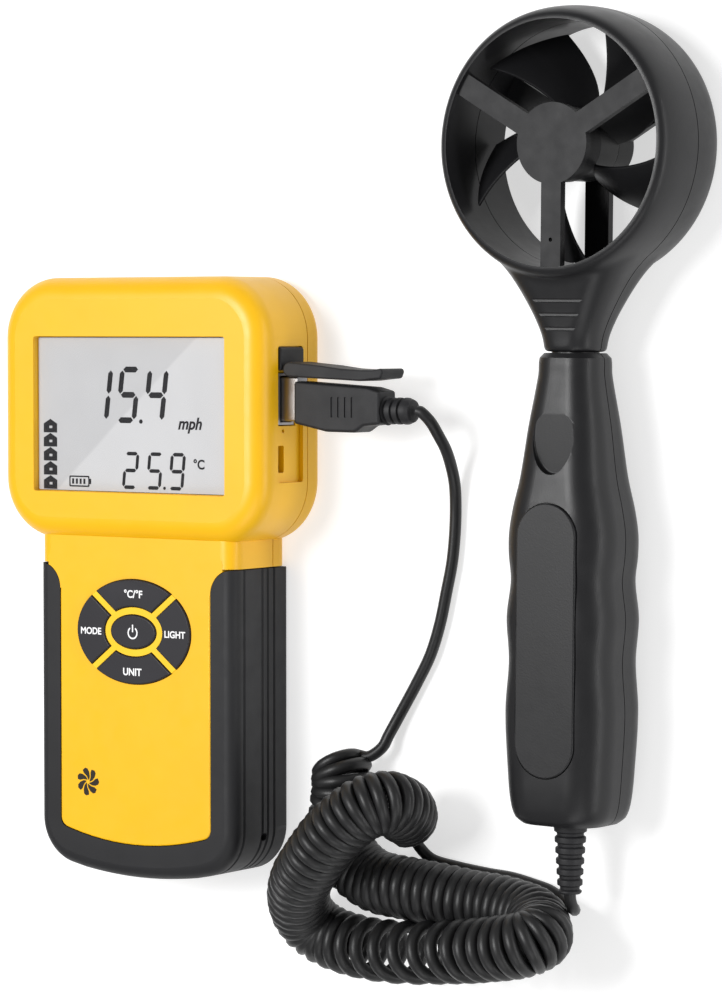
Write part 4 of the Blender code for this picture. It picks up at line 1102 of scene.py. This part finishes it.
# ---- the cord ----
WIRE = 3.2  # of the straight lead
COIL_WIRE = 3.6
COIL_RADIUS = 8.65
PLUG_LEAD = [
    (88.0, 46.4, 15.4), (89.0, 46.2, 15.3), (91.1, 43.6, 14.0), (92.0, 39.8, 11.4),
    (92.3, 36.0, 8.4), (91.9, 31.7, 5.4), (91.6, 26.8, 3.2), (91.2, 21.1, 2.1),
    (90.8, 13.9, 1.8), (89.9, 5.8, 1.8), (88.1, -2.3, 1.8), (86.0, -11.0, 1.8),
    (82.9, -19.6, 1.8), (78.2, -27.9, 1.8), (73.0, -36.6, 2.2), (70.2, -42.0, 3.2),
    (68.9, -45.2, 4.3), (67.9, -48.0, 5.2),
]
COIL = [
    (57.5, -49.2, 8.8), (59.3, -53.3, 9.5), (59.4, -58.4, 9.8), (58.2, -63.9, 9.3),
    (58.3, -71.0, 8.8), (63.0, -77.3, 8.8), (70.5, -81.0, 9.2), (80.4, -81.9, 9.9),
    (92.2, -82.8, 10.2), (102.2, -83.8, 10.2), (110.1, -84.2, 10.4), (118.0, -85.1, 11.6),
    (124.2, -86.1, 14.0), (128.2, -88.0, 18.4), (131.1, -88.6, 22.8), (129.9, -89.9, 26.0),
    (125.9, -91.1, 27.2), (119.9, -92.3, 26.4), (111.4, -94.0, 24.0), (100.6, -95.8, 20.4),
    (89.4, -97.6, 16.4), (78.2, -98.9, 12.8), (67.6, -99.3, 10.2), (57.8, -98.4, 8.8),
    (51.1, -95.6, 10.0), (49.1, -91.0, 13.6), (51.3, -85.6, 18.8), (56.1, -79.7, 24.0),
    (63.0, -73.2, 28.0), (69.9, -66.4, 30.0), (75.8, -61.5, 30.2), (81.1, -58.0, 29.0),
    (84.8, -56.9, 26.0), (85.6, -58.4, 21.0), (84.0, -60.7, 15.4), (81.3, -62.9, 11.0),
]
PROBE_LEAD = [
    (80.8, -64.2, 9.6), (79.9, -68.2, 5.6), (80.2, -71.8, 2.8), (83.8, -74.9, 1.8),
    (91.4, -76.2, 1.8), (101.4, -77.2, 1.8), (109.3, -77.7, 1.8), (116.5, -79.0, 1.8),
    (121.5, -80.2, 1.8), (125.8, -82.2, 2.6), (130.2, -83.4, 5.0), (133.0, -83.3, 8.8),
    (134.6, -81.9, 12.4), (134.8, -79.5, 13.9),
]
IN_SLEEVE = (135.0, -76.6, 14.4)  # where the lead ends, out of sight
COIL_PITCH = 3.5
FIRST_TURN = 0.8  # share of the coil's radius
STRETCH = 6.0  # how much wider the turns lie where the coil is pulled open
STRETCH_AT = (87.0, -97.9, 15.5)
STRETCH_WIDTH = 26.0
BEND_CLOSING = 0.6  # how far the turns close up in a bend
TURN_POINTS = 26


def smooth_route(points, step):
    """Points a step apart along the smooth curve through a route's own points."""
    points = [Vector(point) for point in points]
    ends = [points[0] * 2 - points[1], *points, points[-1] * 2 - points[-2]]
    fine = []
    for a, b, c, d in zip(ends, ends[1:], ends[2:], ends[3:]):
        for k in range(24):
            t = k / 24
            bend, twist = 2 * a - 5 * b + 4 * c - d, 3 * b - a - 3 * c + d
            fine.append((2 * b + (c - a) * t + bend * t**2 + twist * t**3) / 2)
    fine.append(points[-1])
    lengths = [0.0]
    for one, other in zip(fine, fine[1:]):
        lengths.append(lengths[-1] + (other - one).length)
    count = max(2, round(lengths[-1] / step))
    route, i = [], 0
    for k in range(count + 1):
        wanted = lengths[-1] * k / count
        while i < len(lengths) - 2 and lengths[i + 1] < wanted:
            i += 1
        share = (wanted - lengths[i]) / max(lengths[i + 1] - lengths[i], 1e-9)
        route.append(fine[i].lerp(fine[i + 1], share))
    return route


def helix(axis_points, first):
    """The wire's own line round the coil's axis, starting on the side of the point `first`."""
    step = 0.08
    axis = smooth_route(axis_points, step)
    radius = COIL_RADIUS - COIL_WIRE / 2
    tangent = (axis[1] - axis[0]).normalized()
    side = Vector(first) - axis[0]
    side = (side - tangent * side.dot(tangent)).normalized()
    middle = min(range(len(axis)), key=lambda i: (axis[i] - Vector(STRETCH_AT)).length)
    line, phase, owed = [], 0.0, 0.0
    look = round(3 / step)
    for i, point in enumerate(axis):
        ahead = axis[min(i + look, len(axis) - 1)] - point
        behind = point - axis[max(i - look, 0)]
        along = (axis[min(i + 1, len(axis) - 1)] - axis[max(i - 1, 0)]).normalized()
        side = (side - along * side.dot(along)).normalized()
        curl = ahead.angle(behind) / (look * step) if ahead.length and behind.length else 0.0
        pitch = COIL_PITCH + STRETCH * math.exp(-(((i - middle) * step / STRETCH_WIDTH) ** 2))
        pitch /= 1 + BEND_CLOSING * curl * COIL_RADIUS
        reach = radius * min(1.0, (len(axis) - 1 - i) * step / 1.6, FIRST_TURN + i * step / 12)
        offset = side * math.cos(phase) + along.cross(side) * math.sin(phase)
        if owed <= phase:
            owed += math.tau / TURN_POINTS
            line.append(point + offset * reach)
        phase += math.tau * step / pitch
    return line


def add_cord():
    start = helix_start()
    lead = smooth_route([*PLUG_LEAD[:-1], Vector(PLUG_LEAD[-1]).lerp(start, 0.4), start], 1.0)
    coil = helix(COIL, start)
    tail = smooth_route([coil[-1], *PROBE_LEAD[1:], IN_SLEEVE], 1.5)
    line = [*lead[:-1], *coil, *tail[1:]]
    curve = bpy.data.curves.new("cord", "CURVE")
    curve.dimensions = "3D"
    curve.bevel_depth = WIRE / 2 * MM
    curve.bevel_resolution = 3
    curve.use_fill_caps = True
    spline = curve.splines.new("POLY")
    spline.points.add(len(line) - 1)
    thick = COIL_WIRE / WIRE
    for i, (point, place) in enumerate(zip(spline.points, line)):
        point.co = (*(place * MM), 1.0)
        into = min(i - len(lead), len(lead) + len(coil) - i) / TURN_POINTS
        point.radius = 1 + (thick - 1) * min(1.0, max(0.0, into))
    spline.use_smooth = True
    curve.materials.append(cord_skin())
    cord = bpy.data.objects.new("cord", curve)
    bpy.context.scene.collection.objects.link(cord)
    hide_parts("plug_lead", "cord_coil", "probe_lead")
    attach(cord, ROOT)


def helix_start():
    """Where the plug lead meets the coil: on the side of the first turn that faces it."""
    first, second = Vector(COIL[0]), Vector(COIL[1])
    tangent = (second - first).normalized()
    side = Vector(PLUG_LEAD[-1]) - first
    side = (side - tangent * side.dot(tangent)).normalized()
    return first + side * (COIL_RADIUS - COIL_WIRE / 2) * FIRST_TURN


def dress_frame():
    """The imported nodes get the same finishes."""
    slots = {part["node"]: part["material_slot"] for part in frame["record"]["subparts"]}
    for name, node in frame["nodes"].items():
        for slot in node.material_slots:
            slot.material = LOOKS[slots[name]]()


def main():
    add_camera()
    add_stage()
    add_front_case()
    add_rear_case()
    add_boot()
    add_keys()
    add_display()
    add_badge()
    add_back()
    add_cover()
    add_plug()
    add_cord()
    add_vane_head()
    add_handle()
    add_spiders()
    add_rotor()
    add_sleeve()
    dress_frame()


main()
